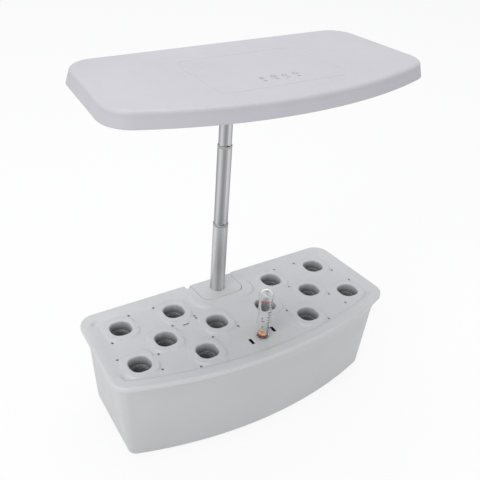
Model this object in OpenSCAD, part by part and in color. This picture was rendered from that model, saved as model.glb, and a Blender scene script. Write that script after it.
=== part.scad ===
// Countertop hydroponic garden: a water tank under a planting deck with twelve pods,
// and a grow lamp on a telescopic pole. Millimetres, Z up, the front faces -Y.
// The origin is on the table under the middle of the lamp hood.

/* [Deck outline] */
// Width of the deck at its two front corners
deck_front_w = 400; // [385:1:415]
// Width of the deck along its back edge
deck_back_w = 384; // [372:1:394]
// Depth of the deck from its back edge to the middle of its front
deck_d = 174.3; // [168:0.1:182]
// Radius of the bowed front edge, which the tank shares
bow_r = 572; // [520:1:640]
// Radius of the deck's four corners
deck_corner_r = 21.5; // [17:0.5:26]
// Height of the deck's edge band above the table
deck_z = 126.3; // [118:0.1:136]
// Height of the upright band round the deck's edge
lip_h = 6; // [5.4:0.1:7]
// Radius of the rounding along the top of that band
lip_edge_r = 2; // [1:0.1:2.4]

/* [Tank] */
// Thickness of the tank's walls and floor
tank_wall = 2.2; // [1.8:0.1:2.6]
// How far the top of the tank flares outwards
flare = 8.7; // [7.5:0.1:10]
// Height over which it flares
flare_h = 25; // [20:0.5:30]
// How much each side leans in from the flare to the floor, at the back
side_draft_back = 7.5; // [4:0.1:9]
// The same at the front corners
side_draft_front = 10; // [6:0.1:12]
// How much the bowed front leans in
front_draft = 4.4; // [2:0.1:6]
// How much the back leans in
back_draft = 0.7; // [0.4:0.1:2]
// Radius of the rounding round the tank's floor
floor_edge_r = 3.5; // [2:0.1:5]
// Gap between the deck's edge and the tank's rim, seen from above
rim_setback = 0.5; // [0.3:0.1:1]
// Height of the rubber feet
foot_h = 2; // [1.5:0.1:3]
// Diameter of the rubber feet
foot_d = 18; // [14:0.5:22]

/* [Deck surface] */
// Width of the raised band inside the deck's edge
band_w = 12; // [10.5:0.1:13.5]
// How far the planting field lies below that band
field_drop = 2.8; // [2.4:0.1:3.2]
// Width of the slope from that band down to the planting field
step_w = 5; // [3:0.1:6]
// Thickness of the deck under the planting field
plate_t = 3.2; // [2.8:0.1:4]
// Width of the raised pad round each pod
pad_w = 43; // [40:0.5:46]
// Corner radius of the raised pads
pad_r = 13; // [10:0.5:16]
// Height of the pads above the planting field
pad_rise = 2; // [1.2:0.1:2.6]
// Width of a pod's throat, which is a rounded square
throat_w = 26.5; // [25:0.5:28]
// Corner radius of the throats
throat_r = 11; // [9:0.5:12]
// Radius of the rounding at the mouth of each throat
mouth_r = 2; // [1.4:0.1:2.8]
// Wall of the throats below the deck
throat_wall = 1.8; // [1.4:0.1:2.2]
// Depth of the ledge that a basket hangs on, below the edge band
ledge_depth = 15; // [12:0.5:20]
// Thickness of that ledge
ledge_t = 2.4; // [2:0.1:3]
// Diameter of the small holes for plant supports
support_hole_d = 3.4; // [2.8:0.1:4]
// Distance of the support holes from the pod's middle, along X and along Y
support_offset = 19.6; // [18.8:0.1:20.4]

/* [Pods] */
// Distance of the back row of pods from the deck's back edge
back_row_inset = 41; // [38.5:0.25:43]
// Distance of the middle row from the deck's back edge
mid_row_inset = 84.75; // [82:0.25:87]
// Distance of the front row from the bowed front edge
front_row_inset = 41.9; // [40:0.1:44]
// Inner and outer pods of the back row, as shares of the deck's front width from the middle
back_row_x = [0.19, 0.375]; // [0.07:0.0025:0.41]
// The same for the middle row
mid_row_x = [0.0925, 0.275]; // [0.07:0.0025:0.41]
// The same for the front row
front_row_x = [0.19, 0.3925]; // [0.07:0.0025:0.41]

/* [Baskets] */
// Gap between a basket's flange and the throat, all round
basket_gap = 0.4; // [0.3:0.1:0.6]
// Length of a basket below its flange
basket_l = 46; // [38:1:50]
// Thickness of a basket's flange
basket_flange_t = 2; // [1.5:0.1:2.5]
// Outer radius of a basket under its flange
basket_top_r = 11; // [10:0.1:11.4]
// Outer radius of a basket at its bottom
basket_bottom_r = 9; // [8:0.1:10]
// Wall of a basket
basket_wall = 1.3; // [1:0.1:1.6]
// Number of slots round a basket
basket_slots = 10; // [6:1:12]
// Width of those slots
slot_w = 2.4; // [1.8:0.1:3]

/* [Water gauge] */
// Distance of the gauge from the deck's back edge
gauge_inset = 133.45; // [131:0.05:136]
// Outer diameter of the clear gauge tube
gauge_d = 17; // [15:0.5:18]
// Wall of the gauge tube
gauge_wall = 1.3; // [1:0.1:1.6]
// Height of the gauge tube above the deck's edge band, to the top of its dome
gauge_h = 67; // [58:1:78]
// Diameter of the tube's foot flange
gauge_flange_d = 18.6; // [17.8:0.2:20.6]
// Thickness of the foot flange
gauge_flange_t = 1.4; // [1:0.1:2]
// Depth of the filling basin below the planting field
basin_drop = 0.6; // [0.4:0.1:0.9]
// Distance of the basin's two filling slots from the gauge
fill_slot_x = 18.5; // [16:0.5:21]
// How far the left slot lies in front of the gauge, and the right one behind it
fill_slot_stagger = 3.7; // [0:0.1:5]
// Width and length of the filling slots
fill_slot = [4, 10]; // [3:0.5:12]
// Diameter of the float's coloured disc
float_disc_d = 12; // [10:0.5:12.5]
// How far the float can rise
float_travel = 50; // [30:1:52]

/* [Pole] */
// Distance of the pole's axis from the deck's back edge
pole_inset = 22.45; // [21:0.05:24]
// Outer radius of the lowest tube
pole_r = 9.85; // [9.4:0.05:10.2]
// Wall of the tubes
tube_wall = 0.6; // [0.5:0.05:0.7]
// Gap between one tube and the next
tube_gap = 0.2; // [0.15:0.01:0.25]
// Height of the top of the lowest tube above the deck's edge band
lower_rise = 102; // [96:1:110]
// Length of the middle tube that shows when it is drawn out
middle_rise = 109; // [100:1:114]
// Length of the upper tube that shows below the hood when it is drawn out
upper_rise = 96.5; // [90:0.5:102]
// Length of each tube that stays inside the one below
tube_overlap = 18; // [14:1:22]
// Height of the rounded collar at the top of a tube
collar_h = 3.2; // [2.6:0.1:4]
// Radius of the key groove down the front of the tubes
key_r = 1.5; // [1.2:0.1:1.8]
// Width of the pole base's tongue in the deck
base_w = 62; // [58:1:66]
// Distance from the pole's axis to the front of that tongue
base_front = 21.5; // [19:0.5:24]
// Distance from the pole's axis to the back of that tongue
base_back = 19.4; // [18:0.1:20]
// Gap between the tongue and the deck
base_gap = 0.5; // [0.3:0.1:0.8]
// Thickness of the tongue
base_t = 3; // [2.4:0.1:3.6]
// Depth of the pole's socket below the deck's edge band
socket_depth = 24; // [20:1:26]
// Wall of that socket
socket_wall = 1.7; // [1.4:0.1:2]

/* [Lamp hood] */
// Width of the hood at its two front corners
hood_front_w = 397; // [386:1:408]
// Width of the hood along its back edge
hood_back_w = 371; // [361:0.5:381]
// Depth of the hood
hood_d = 190; // [184:0.1:196]
// Radius of the hood's bowed front
hood_bow_r = 511; // [470:1:560]
// Corner radius of the hood
hood_corner_r = 35; // [30:0.5:40]
// Height of the hood
hood_h = 16.5; // [15.8:0.1:18]
// How much the hood's skirt leans in
hood_draft = 3.2; // [2:0.1:4]
// Radius of the hood's top edge
hood_edge_r = 4.5; // [3:0.1:5]
// Thickness of the hood's shell
hood_wall = 2.2; // [1.8:0.1:2.4]
// Thickness of the tray that closes the hood
tray_t = 2.2; // [1.8:0.1:2.4]
// How far the tray sits inside the skirt
tray_recess = 1.2; // [0.8:0.1:1.6]
// Distance of the deck's back edge from the hood's back edge
hood_overhang = 14.1; // [12:0.1:16]
// Distance of the lamp window's ends from the hood's front corners
window_side = 47.5; // [44:0.5:60]
// Distance of the window's front corners from the hood's bowed front
window_front = 7.8; // [7:0.1:14]
// Distance of the window's back from the pole's axis
window_back = 25.8; // [22:0.1:32]
// Thickness of the clear window
lens_t = 1.6; // [1.2:0.1:2]
// Thickness of the circuit boards
board_t = 1.6; // [1.2:0.1:1.6]
// Size and height of a light-emitting chip
chip = [3, 3, 0.7]; // [0.5:0.1:4]
// Columns of chips
chip_cols = 20; // [12:1:22]
// Rows of chips
chip_rows = 6; // [4:1:6]
// Outline of the shallow line round the touch field
touch_panel = [159, 102]; // [90:1:170]
// Distance of the touch field's middle from the middle of the hood's front
touch_panel_front = 89.55; // [86:0.05:93]
// Width and depth of that line
touch_line = [0.9, 0.4]; // [0.2:0.1:1.2]
// Distance of the touch keys from the middle of the hood's front
key_front = 64.55; // [60:0.05:68]
// Spacing of the four touch keys
key_pitch = 14; // [12:0.5:16]
// Diameter of the sensing pads under the touch keys
key_d = 7; // [5:0.5:8]
// Distance of the two sockets in the back from the middle
jack_x = [26, 44]; // [20:1:60]

/* [Pump] */
// Distance of the pump's middle from the middle of the tank, and from the deck's back edge
pump_place = [46, 65.25]; // [40:0.25:70]
// Length, depth and height of the pump's housing
pump_size = [38, 34, 34]; // [30:1:42]
// Radius of the impeller's chamber
chamber_r = 12; // [11:0.1:13]
// Depth of the impeller's chamber
chamber_l = 9; // [8:0.1:10]
// Radius of the rotor's bore
rotor_r = 6.4; // [5.5:0.1:7]
// Length of the rotor's bore
rotor_l = 20; // [16:0.5:22]
// Radius of the fixed shaft
shaft_r = 1; // [0.8:0.05:1.4]
// Running clearance of the impeller on its shaft
shaft_gap = 0.06; // [0.03:0.01:0.09]
// Number of impeller blades
blades = 5; // [4:1:7]
// Height of the suction cups
cup_h = 3; // [2.4:0.1:4]
// Thickness of the strainer
strainer_t = 2.6; // [2:0.1:3.4]

/* [Hidden] */

$fn = 64;
eps = 0.01;
// Clearance between pieces that are only placed together
seat_gap = 0.3;
// Facets of a corner arc, of the long bow and of a pod's corner
corner_n = 7;
bow_n = 12;
pod_n = 5;

white = "#c9cacc";
clear = [0.85, 0.9, 0.92, 0.35];

// ---- outlines -------------------------------------------------------------

// An outline is [back width, front width, back y, front y, bow radius, corner radius].
deck_back_y = hood_d / 2 - hood_overhang;
deck_o = [deck_back_w, deck_front_w, deck_back_y, deck_back_y - deck_d, bow_r, deck_corner_r];
hood_o = [hood_back_w, hood_front_w, hood_d / 2, -hood_d / 2, hood_bow_r, hood_corner_r];

function inset(o, d) = [o[0] - 2 * d, o[1] - 2 * d, o[2] - d, o[3] + d, o[4] - d, max(o[5] - d, 1.5)];
function unit(v) = v / norm(v);
function arc(c, r, a0, a1, n) = [for (i = [0:n]) let(a = a0 + (a1 - a0) * i / n) c + r * [cos(a), sin(a)]];
function bow_y(o, x) = o[3] + o[4] - sqrt(o[4] * o[4] - x * x);
// Half width of an outline along its straight side
function side_x(o, y) = (o[0] + (o[1] - o[0]) * (o[2] - y) / (o[2] - bow_y(o, o[1] / 2))) / 2;

// Right half of an outline, from the back edge round to the middle of the front.
function half_outline(o) =
    let(r = o[5],
        back = [o[0] / 2, o[2]],
        corner = [o[1] / 2, bow_y(o, o[1] / 2)],
        bow_c = [0, o[3] + o[4]],
        side = unit(corner - back),
        out = [-side.y, side.x],
        base = back - r * out,
        back_c = base + side * (r * out.y - r) / side.y,
        q = base - bow_c,
        qs = q * side,
        front_c = base + side * (sqrt(qs * qs - q * q + (o[4] - r) * (o[4] - r)) - qs),
        a_side = atan2(out.y, out.x),
        a_bow = atan2(front_c.y - bow_c.y, front_c.x))
    concat(arc(back_c, r, 90, a_side, corner_n),
           arc(front_c, r, a_side, a_bow, corner_n),
           [for (i = [1:bow_n])
               let(a = a_bow + (-90 - a_bow) * i / bow_n) bow_c + o[4] * [cos(a), sin(a)]]);

// Whole outline, anticlockwise from the middle of the front.
function outline(o) =
    let(h = half_outline(o), n = len(h))
    concat([for (i = [n - 1:-1:0]) h[i]], [for (i = [0:n - 2]) [-h[i].x, h[i].y]]);

function rounded(w, d, r, n = pod_n) =
    concat(arc([w / 2 - r, r - d / 2], r, -90, 0, n), arc([w / 2 - r, d / 2 - r], r, 0, 90, n),
           arc([r - w / 2, d / 2 - r], r, 90, 180, n), arc([r - w / 2, r - d / 2], r, 180, 270, n));

function at_z(points, z) = [for (p = points) [p.x, p.y, z]];

// A closed solid through rings of equal length, capped at the first and the last.
module loft(rings) {
    n = len(rings[0]);
    last = n * (len(rings) - 1);
    polyhedron(
        points = [for (r = rings) each r],
        faces = concat(
            [[for (i = [0:n - 1]) i]],
            [for (k = [0:len(rings) - 2], i = [0:n - 1])
                each [[k * n + i, (k + 1) * n + i, (k + 1) * n + (i + 1) % n],
                      [k * n + i, (k + 1) * n + (i + 1) % n, k * n + (i + 1) % n]]],
            [[for (i = [n - 1:-1:0]) last + i]]));
}

module slab(o, z0, z1) {
    translate([0, 0, z0]) linear_extrude(z1 - z0) polygon(outline(o));
}

module rounded_slab(w, d, r, z0, z1) {
    translate([0, 0, z0]) linear_extrude(z1 - z0) polygon(rounded(w, d, r));
}

// ---- pods -----------------------------------------------------------------

// The right half of the pods as [x, y, side of the front support hole], mirrored for the left
back_row_y = deck_back_y - back_row_inset;
mid_row_y = deck_back_y - mid_row_inset;
pod_x = deck_front_w * [back_row_x, mid_row_x, front_row_x];
front_row_y = [for (x = pod_x[2]) bow_y(deck_o, x) + front_row_inset];
right_pods = [[pod_x[0][0], back_row_y, -1], [pod_x[0][1], back_row_y, 1],
              [pod_x[1][0], mid_row_y, -1], [pod_x[1][1], mid_row_y, 1],
              [pod_x[2][0], front_row_y[0], 1], [pod_x[2][1], front_row_y[1], -1]];
function mirrored(p) = [-p.x, p.y, -p.z];
// Numbered row by row from the back, and from left to right in each row.
PODS = [for (row = [0:2]) each [mirrored(right_pods[2 * row + 1]), mirrored(right_pods[2 * row]),
                                right_pods[2 * row], right_pods[2 * row + 1]]];

// ---- tank -----------------------------------------------------------------

rim_z = deck_z - lip_h;
join_z = rim_z - flare_h;
rim_o = inset(deck_o, rim_setback);
wall_o = inset(deck_o, rim_setback + flare);
floor_o = [wall_o[0] - 2 * side_draft_back, wall_o[1] - 2 * side_draft_front, wall_o[2] - back_draft,
           wall_o[3] + front_draft, wall_o[4] - front_draft, max(wall_o[5] - 2, 8)];
flare_steps = 5;

// How far the tank's wall lies inside its rim at a height within the flare
function flare_in(z) = flare * (1 - pow(1 - (rim_z - z) / flare_h, 1.5));
function tank_o(z) =
    z >= join_z
    ? inset(rim_o, flare_in(z))
    : let(t = (join_z - z) / (join_z - foot_h)) wall_o * (1 - t) + floor_o * t;

function tank_ring(z, d) = at_z(outline(inset(tank_o(z), d)), z);
function edge_ring(z0, a, d) =
    at_z(outline(inset(tank_o(z0), d + floor_edge_r * (1 - sin(a)))), z0 + floor_edge_r * (1 - cos(a)));

floor_z = foot_h + tank_wall;
inner_back_y = inset(tank_o(floor_z), tank_wall)[2];

module tank() {
    color(white) loft(concat(
        [for (a = [0, 45, 90]) edge_ring(foot_h, a, 0)],
        [for (i = [flare_steps:-1:0]) tank_ring(rim_z - flare_h * i / flare_steps, 0)],
        [for (i = [0:flare_steps]) tank_ring(rim_z - flare_h * i / flare_steps, tank_wall)],
        [for (a = [90, 45, 0]) edge_ring(floor_z, a, tank_wall)]));
}

// Distances of the back and the front feet from the floor's sides, and from its back and front
foot_side = [24, 34];
foot_end = [22, 42];
foot_bevel = 0.6;
foot_x = [floor_o[0] / 2 - foot_side[0], floor_o[1] / 2 - foot_side[1]];
foot_y = [floor_o[2] - foot_end[0], floor_o[3] + foot_end[1]];

module rubber_feet() {
    color("#3a3a3c")
        for (s = [-1, 1], i = [0, 1])
            translate([s * foot_x[i], foot_y[i], 0]) {
                translate([0, 0, foot_bevel]) cylinder(d = foot_d, h = foot_h - foot_bevel);
                cylinder(d1 = foot_d - 2 * foot_bevel, d2 = foot_d, h = foot_bevel);
            }
}

// ---- deck -----------------------------------------------------------------

field_z = deck_z - field_drop;
pad_z = field_z + pad_rise;
ceiling_z = field_z - plate_t;
ledge_z = deck_z - ledge_depth;
basin_z = field_z - basin_drop;
skirt_l = 6;
skirt_t = 1.6;
skirt_inset = rim_setback + tank_wall + flare_in(rim_z - skirt_l) + 0.6;
lip_t = tank_wall + rim_setback;
pole_pad = [92, 51];
pole_pad_r = 20;
gauge_y = deck_back_y - gauge_inset;
gauge_bore = gauge_d - 2 * gauge_wall;
pole_y = deck_back_y - pole_inset;
base_back_y = pole_y + base_back;
base_front_y = pole_y - base_front;
base_corner_r = 12;
// Notch for leads on the left of the tongue, chamfer on its right
notch = [9, 8];
chamfer = [3.5, 4];
// Small slot between two pods, measured from the deck's back edge
vent = [9, 2];
vent_inset = 70.55;
vent_x = -74;

// The band, the plate and the rounded edge are one shell.
module deck_shell() {
    loft(concat(
        [at_z(outline(inset(deck_o, skirt_inset)), ceiling_z),
         at_z(outline(inset(deck_o, lip_t)), rim_z),
         at_z(outline(deck_o), rim_z)],
        [for (a = [0, 30, 60, 90])
            at_z(outline(inset(deck_o, lip_edge_r * (1 - cos(a)))), deck_z - lip_edge_r * (1 - sin(a)))]));
}

module pad() {
    soft = 1.4;
    loft([at_z(rounded(pad_w, pad_w, pad_r), basin_z - 0.4),
          at_z(rounded(pad_w, pad_w, pad_r), field_z),
          at_z(rounded(pad_w - 0.8 * soft, pad_w - 0.8 * soft, pad_r), pad_z - 0.5),
          at_z(rounded(pad_w - 2.6 * soft, pad_w - 2.6 * soft, pad_r), pad_z)]);
}

module throat_cut() {
    // Rounded mouth, then the straight throat down to the ledge.
    loft(concat(
        [at_z(rounded(throat_w, throat_w, throat_r), ledge_z)],
        [for (a = [0, 30, 60, 90])
            let(g = mouth_r * (1 - cos(a)), w = throat_w + 2 * g)
            at_z(rounded(w, w, throat_r + g), pad_z - mouth_r * (1 - sin(a)))],
        [at_z(rounded(throat_w + 2 * mouth_r, throat_w + 2 * mouth_r, throat_r + mouth_r), pad_z + 1)]));
    translate([0, 0, ledge_z - ledge_t - 1]) cylinder(r = basket_top_r + basket_gap, h = ledge_t + 2);
}

module at_pods() {
    for (p = PODS) translate([p.x, p.y, 0]) children();
}

// Half width of the fan-shaped basin at distances behind the gauge
basin_side = [[30, 28.5], [34, 26.5], [37, 20.5], [44, 3.5], [50, -7.5], [60, -15.5], [66, -31.5]];

module basin_2d() {
    n = len(basin_side);
    intersection() {
        polygon(outline(inset(deck_o, band_w + step_w + 0.5)));
        translate([0, gauge_y]) polygon(concat(
            basin_side, [for (i = [n - 1:-1:0]) [-basin_side[i].x, basin_side[i].y]]));
    }
}

// The tongue that the deck leaves open for the pole base, with a notch beside it for leads.
module tongue_2d(gap, back_y) {
    w = base_w + 2 * gap;
    front = base_front_y - gap;
    polygon(concat([[w / 2, back_y]],
                   [[-w / 2, back_y]],
                   arc([base_corner_r - w / 2, front + base_corner_r], base_corner_r, 180, 270, 6),
                   arc([w / 2 - base_corner_r, front + base_corner_r], base_corner_r, 270, 360, 6)));
}

module deck() {
    color(white) difference() {
        union() {
            difference() {
                deck_shell();
                loft([at_z(outline(inset(deck_o, band_w + step_w)), field_z),
                      at_z(outline(inset(deck_o, band_w)), deck_z),
                      at_z(outline(inset(deck_o, band_w)), deck_z + 1)]);
                translate([0, 0, basin_z]) linear_extrude(field_z - basin_z + 1) basin_2d();
            }
            at_pods() pad();
            // Raised ground round the pole base
            translate([0, deck_back_y - band_w / 2 - pole_pad[1] / 2, 0])
                rounded_slab(pole_pad[0], pole_pad[1], pole_pad_r, field_z - 0.4, deck_z);
            // Skirt that keeps the deck in the tank's rim
            difference() {
                slab(inset(deck_o, skirt_inset), rim_z - skirt_l, ceiling_z + 0.4);
                slab(inset(deck_o, skirt_inset + skirt_t), rim_z - skirt_l - 1, ceiling_z + 1);
            }
            // Throats that hang below the deck
            at_pods() rounded_slab(throat_w + 2 * throat_wall, throat_w + 2 * throat_wall,
                                   throat_r + throat_wall, ledge_z - ledge_t, ceiling_z + 0.4);
        }
        at_pods() throat_cut();
        for (p = PODS, s = [-1, 1])
            translate([p.x + s * p.z * support_offset, p.y - s * support_offset, ceiling_z - 1])
                cylinder(d = support_hole_d, h = plate_t + 4);
        translate([0, gauge_y, ceiling_z - 1]) cylinder(d = gauge_bore, h = plate_t + 4);
        for (s = [-1, 1])
            translate([s * fill_slot_x, gauge_y + s * fill_slot_stagger, deck_z - 5])
                cube([fill_slot[0], fill_slot[1], 14], center = true);
        translate([vent_x, deck_back_y - vent_inset, deck_z - 5]) cube([vent.x, vent.y, 14], center = true);
        translate([0, 0, rim_z - skirt_l - 1]) linear_extrude(lip_h + skirt_l + 4) {
            tongue_2d(base_gap, deck_back_y + 1);
            polygon([[-base_w / 2, deck_back_y + 1],
                     [-base_w / 2 - notch.x, deck_back_y + 1],
                     [-base_w / 2 - notch.x + 1, deck_back_y - notch.y],
                     [-base_w / 2, deck_back_y - notch.y]]);
            polygon([[base_w / 2, deck_back_y + 1], [base_w / 2 + chamfer.x, deck_back_y + 1],
                     [base_w / 2, deck_back_y - chamfer.y]]);
        }
    }
}

// ---- pole base ------------------------------------------------------------

socket_r = pole_r + 0.1;
tube_foot_z = deck_z - socket_depth + 2;
socket_z = deck_z - socket_depth;
leg = [30, 24];
leg_wall = 2;

module pole_base() {
    color(white) difference() {
        union() {
            // Tongue, flush with the raised ground, with a wall and a step at its back that rest on the rim
            translate([0, 0, deck_z - base_t]) linear_extrude(base_t) tongue_2d(0, base_back_y);
            translate([-base_w / 2, base_back_y - 2.4, rim_z]) cube([base_w, 2.4, lip_h - 1]);
            translate([-base_w / 2, base_back_y - 2.4, rim_z])
                cube([base_w, deck_back_y - rim_setback - base_back_y + 2.4, 2]);
            // Ribs that stiffen the tongue
            for (s = [-1, 1])
                translate([s * 18 - 1, pole_y - 16, deck_z - base_t - 7]) cube([2, base_back + 14, 7.4]);
            // Socket of the pole
            translate([0, pole_y, socket_z]) cylinder(r = socket_r + socket_wall, h = socket_depth - 0.5);
            // Leg that stands on the tank's floor, open at the back
            translate([-leg[0] / 2, leg_back_y - leg[1], floor_z + seat_gap]) leg_channel();
        }
        translate([0, pole_y, tube_foot_z]) cylinder(r = socket_r, h = socket_depth + 4);
    }
}

// The leg stands clear of the rounding between the tank's floor and its back
leg_back_y = inner_back_y - floor_edge_r + 0.5;

module leg_channel() {
    h = socket_z - floor_z - seat_gap + 2;
    difference() {
        cube([leg[0], leg[1], h]);
        translate([leg_wall, leg_wall, -1]) cube([leg[0] - 2 * leg_wall, leg[1], h - 2]);
        // Openings that let the water through
        for (z = [10:22:h - 20])
            translate([leg[0] / 2 - 6, -1, z]) cube([12, leg_wall + 2, 14]);
    }
}

// ---- telescopic pole ------------------------------------------------------

middle_r = pole_r - tube_wall - tube_gap;
upper_r = middle_r - tube_wall - tube_gap;
key_centre = pole_r + key_r / 3;
lower_top_z = deck_z + lower_rise;
middle_top_z = lower_top_z + middle_rise;
hood_z = middle_top_z + upper_rise;

// A tube with a rolled key groove down its front, whose inside follows it. The grooves of all the
// tubes are drawn from one centre, so that they run in each other with the same gap as the walls.
module tube(r, z0, z1) {
    groove_r = key_r + pole_r - r;
    translate([0, pole_y, z0]) linear_extrude(z1 - z0) difference() {
        circle(r = r);
        difference() {
            circle(r = r - tube_wall);
            translate([0, -key_centre]) circle(r = groove_r + tube_wall);
        }
        translate([0, -key_centre]) circle(r = groove_r);
    }
}

// A rounded guide ring on the end of a tube, which the next tube runs through.
module collar(r, z) {
    bore = r - tube_wall - 0.1;
    round_r = 0.9;
    translate([0, pole_y, z]) rotate_extrude() difference() {
        translate([bore, 0]) square([r + 0.15 - bore, collar_h]);
        translate([r + 0.15 - round_r, collar_h - round_r]) difference() {
            square(round_r + 1);
            circle(r = round_r);
        }
    }
}

module lower_tube() {
    color("silver") tube(pole_r, tube_foot_z, lower_top_z - collar_h);
}

module lower_collar() {
    color("#d8d9db") collar(pole_r, lower_top_z - collar_h);
}

module middle_tube() {
    color("silver") tube(middle_r, lower_top_z - tube_overlap, middle_top_z - collar_h);
}

module middle_collar() {
    color("#d8d9db") collar(middle_r, middle_top_z - collar_h);
}

module upper_tube() {
    color("silver") tube(upper_r, middle_top_z - tube_overlap, hood_z + head_bore_h);
}

// ---- lamp hood ------------------------------------------------------------

tray_z = hood_z + tray_recess;
tray_top_z = tray_z + tray_t;
hood_top_z = hood_z + hood_h;
hood_ceiling_z = hood_top_z - hood_wall;
// The skirt's inner face, which leans in from the rim to the height where the ceiling starts
skirt_lean_h = hood_h - hood_wall - 2;
tray_o = inset(hood_o, hood_wall + hood_draft * (tray_recess + tray_t) / skirt_lean_h + seat_gap);
head_r = 18;
head_bore_h = 11;
window_w = hood_front_w - 2 * window_side;
window_front_y = bow_y(hood_o, window_w / 2) + window_front;
window_back_y = pole_y - window_back;
window_y = (window_front_y + window_back_y) / 2;
window = [window_w, window_back_y - window_front_y];
window_r = 8;
touch_panel_y = touch_panel_front - hood_d / 2;
touch_panel_r = 15;
key_y = key_front - hood_d / 2;
lens = [window[0] + 8, window[1] + 8];
lens_top_z = tray_top_z + lens_t;
led_board_z = lens_top_z + chip[2] + 0.4;
touch_pad_t = 1;
control_z = hood_ceiling_z - touch_pad_t - board_t;
boss_r = 4;
screw_r = 1.4;
screw_head = [2.7, 1.1];
control_d = 18;
// Screws along the hood's sides, at shares of its depth, and along its back and front, at shares
// of its width
boss_side = 18;
boss_end = 12;
boss_y = [for (share = [0.32, -0.2]) share * hood_d];
boss_x = [for (share = [0.18, 0.155]) share * hood_front_w];
bosses = [for (s = [-1, 1]) each concat(
    [for (y = boss_y) [s * (side_x(hood_o, y) - boss_side), y]],
    [[s * boss_x[0], hood_d / 2 - boss_end], [s * boss_x[1], bow_y(hood_o, boss_x[1]) + boss_end]])];
post_inset = [13, 6];
posts = [for (k = [-1:1], s = [-1, 1]) [k * (window.x / 2 - post_inset.x),
                                        window_y + s * (window.y / 2 - post_inset.y)]];
head_screw_at = 14;
head_screws = [for (a = [90, 210, 330]) [head_screw_at * cos(a), pole_y + head_screw_at * sin(a)]];

function hood_ring(z, d) = at_z(outline(inset(hood_o, d)), z);

module hood_cover() {
    lean = hood_draft;
    color("#d3d3d8") difference() {
        union() {
            loft(concat(
                [hood_ring(hood_ceiling_z, lean + hood_wall + 2),
                 hood_ring(hood_ceiling_z - 2, lean + hood_wall),
                 hood_ring(hood_z, hood_wall),
                 hood_ring(hood_z, 0)],
                [for (a = [0, 30, 60, 90])
                    hood_ring(hood_top_z - hood_edge_r * (1 - sin(a)),
                              lean + hood_edge_r * (1 - cos(a)))]));
            for (b = bosses)
                translate([b.x, b.y, tray_top_z])
                    cylinder(r = boss_r, h = hood_ceiling_z - tray_top_z + 0.4);
            for (p = posts)
                translate([p.x, p.y, led_board_z + board_t])
                    cylinder(r = 3, h = hood_ceiling_z - led_board_z - board_t + 0.4);
        }
        for (b = bosses)
            translate([b.x, b.y, tray_top_z - 1]) cylinder(r = screw_r, h = 9);
        for (x = jack_x)
            translate([x, hood_d / 2 - 8, jack_z]) rotate([-90, 0, 0]) cylinder(r = jack_r + 0.15, h = 12);
        // Line round the touch field
        translate([0, touch_panel_y, hood_top_z - touch_line[1]]) linear_extrude(1) difference() {
            polygon(rounded(touch_panel[0], touch_panel[1], touch_panel_r));
            polygon(rounded(touch_panel[0] - 2 * touch_line[0], touch_panel[1] - 2 * touch_line[0],
                            touch_panel_r - touch_line[0]));
        }
    }
}

module hood_tray() {
    color("#dcdcde") difference() {
        slab(tray_o, tray_z, tray_top_z);
        translate([0, window_y, tray_z - 1]) linear_extrude(tray_t + 2)
            polygon(rounded(window[0], window[1], window_r));
        translate([0, pole_y, tray_z - 1]) cylinder(r = upper_r + 2.4 + seat_gap, h = tray_t + 2);
        for (b = bosses) translate([b.x, b.y, tray_z - 1]) cylinder(r = screw_r + 0.2, h = tray_t + 2);
        for (p = head_screws) translate([p.x, p.y, tray_z - 1]) cylinder(r = screw_r + 0.2, h = tray_t + 2);
    }
}

module screw(head_r, head_h, shank_l) {
    // Head down, shank up
    translate([0, 0, -head_h]) cylinder(r1 = head_r - 0.6, r2 = head_r, h = head_h);
    cylinder(r = screw_r - 0.1, h = shank_l);
}

module hood_screws() {
    color("silver") for (b = bosses)
        translate([b.x, b.y, tray_z]) screw(screw_head[0], screw_head[1], tray_t + 6);
}

module window_lens() {
    color(clear) translate([0, window_y, 0])
        rounded_slab(lens[0], lens[1], window_r + 2, tray_top_z, lens_top_z);
}

module led_board() {
    color("#f2f2ee") translate([0, window_y, 0])
        rounded_slab(window[0] - 2, window[1] - 2, window_r / 2, led_board_z, led_board_z + board_t);
}

module led_chips() {
    margin = 11.5;
    pitch = [(window[0] - 2 * margin) / (chip_cols - 1), (window[1] - 2 * margin) / (chip_rows - 1)];
    color("#f5e9a8")
        for (i = [0:chip_cols - 1], j = [0:chip_rows - 1])
            translate([(i - (chip_cols - 1) / 2) * pitch.x - chip.x / 2,
                       window_y + (j - (chip_rows - 1) / 2) * pitch.y - chip.y / 2, led_board_z - chip.z])
                cube(chip);
}

module control_board() {
    size = [5 * key_pitch + 2, control_d, board_t];
    driver = [12, 8, 1.2];
    sensor = [8, 6, 1.2];
    color("#2f6f4f") translate([0, key_y, control_z]) {
        translate([-size.x / 2, -size.y / 2, 0]) cube(size);
        // Two chips on its lower face
        translate([-size.x / 3, -driver.y / 2, -driver.z]) cube(driver);
        translate([size.x / 7, -sensor.y / 2, -sensor.z]) cube(sensor);
    }
}

module touch_pads() {
    color("#4a4a4c")
        for (i = [-1.5:1:1.5])
            translate([i * key_pitch, key_y, hood_ceiling_z - touch_pad_t])
                cylinder(d = key_d, h = touch_pad_t);
}

module pole_head() {
    color(white) difference() {
        union() {
            translate([0, pole_y, hood_z + 0.6]) cylinder(r = upper_r + 2.4, h = head_bore_h + 1.4);
            translate([0, pole_y, tray_top_z]) cylinder(r = head_r, h = 2.4);
        }
        translate([0, pole_y, hood_z - 1]) cylinder(r = upper_r + 0.05, h = head_bore_h + 1);
        for (p = head_screws) translate([p.x, p.y, tray_top_z - 1]) cylinder(r = screw_r + 0.1, h = 5);
    }
}

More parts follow.
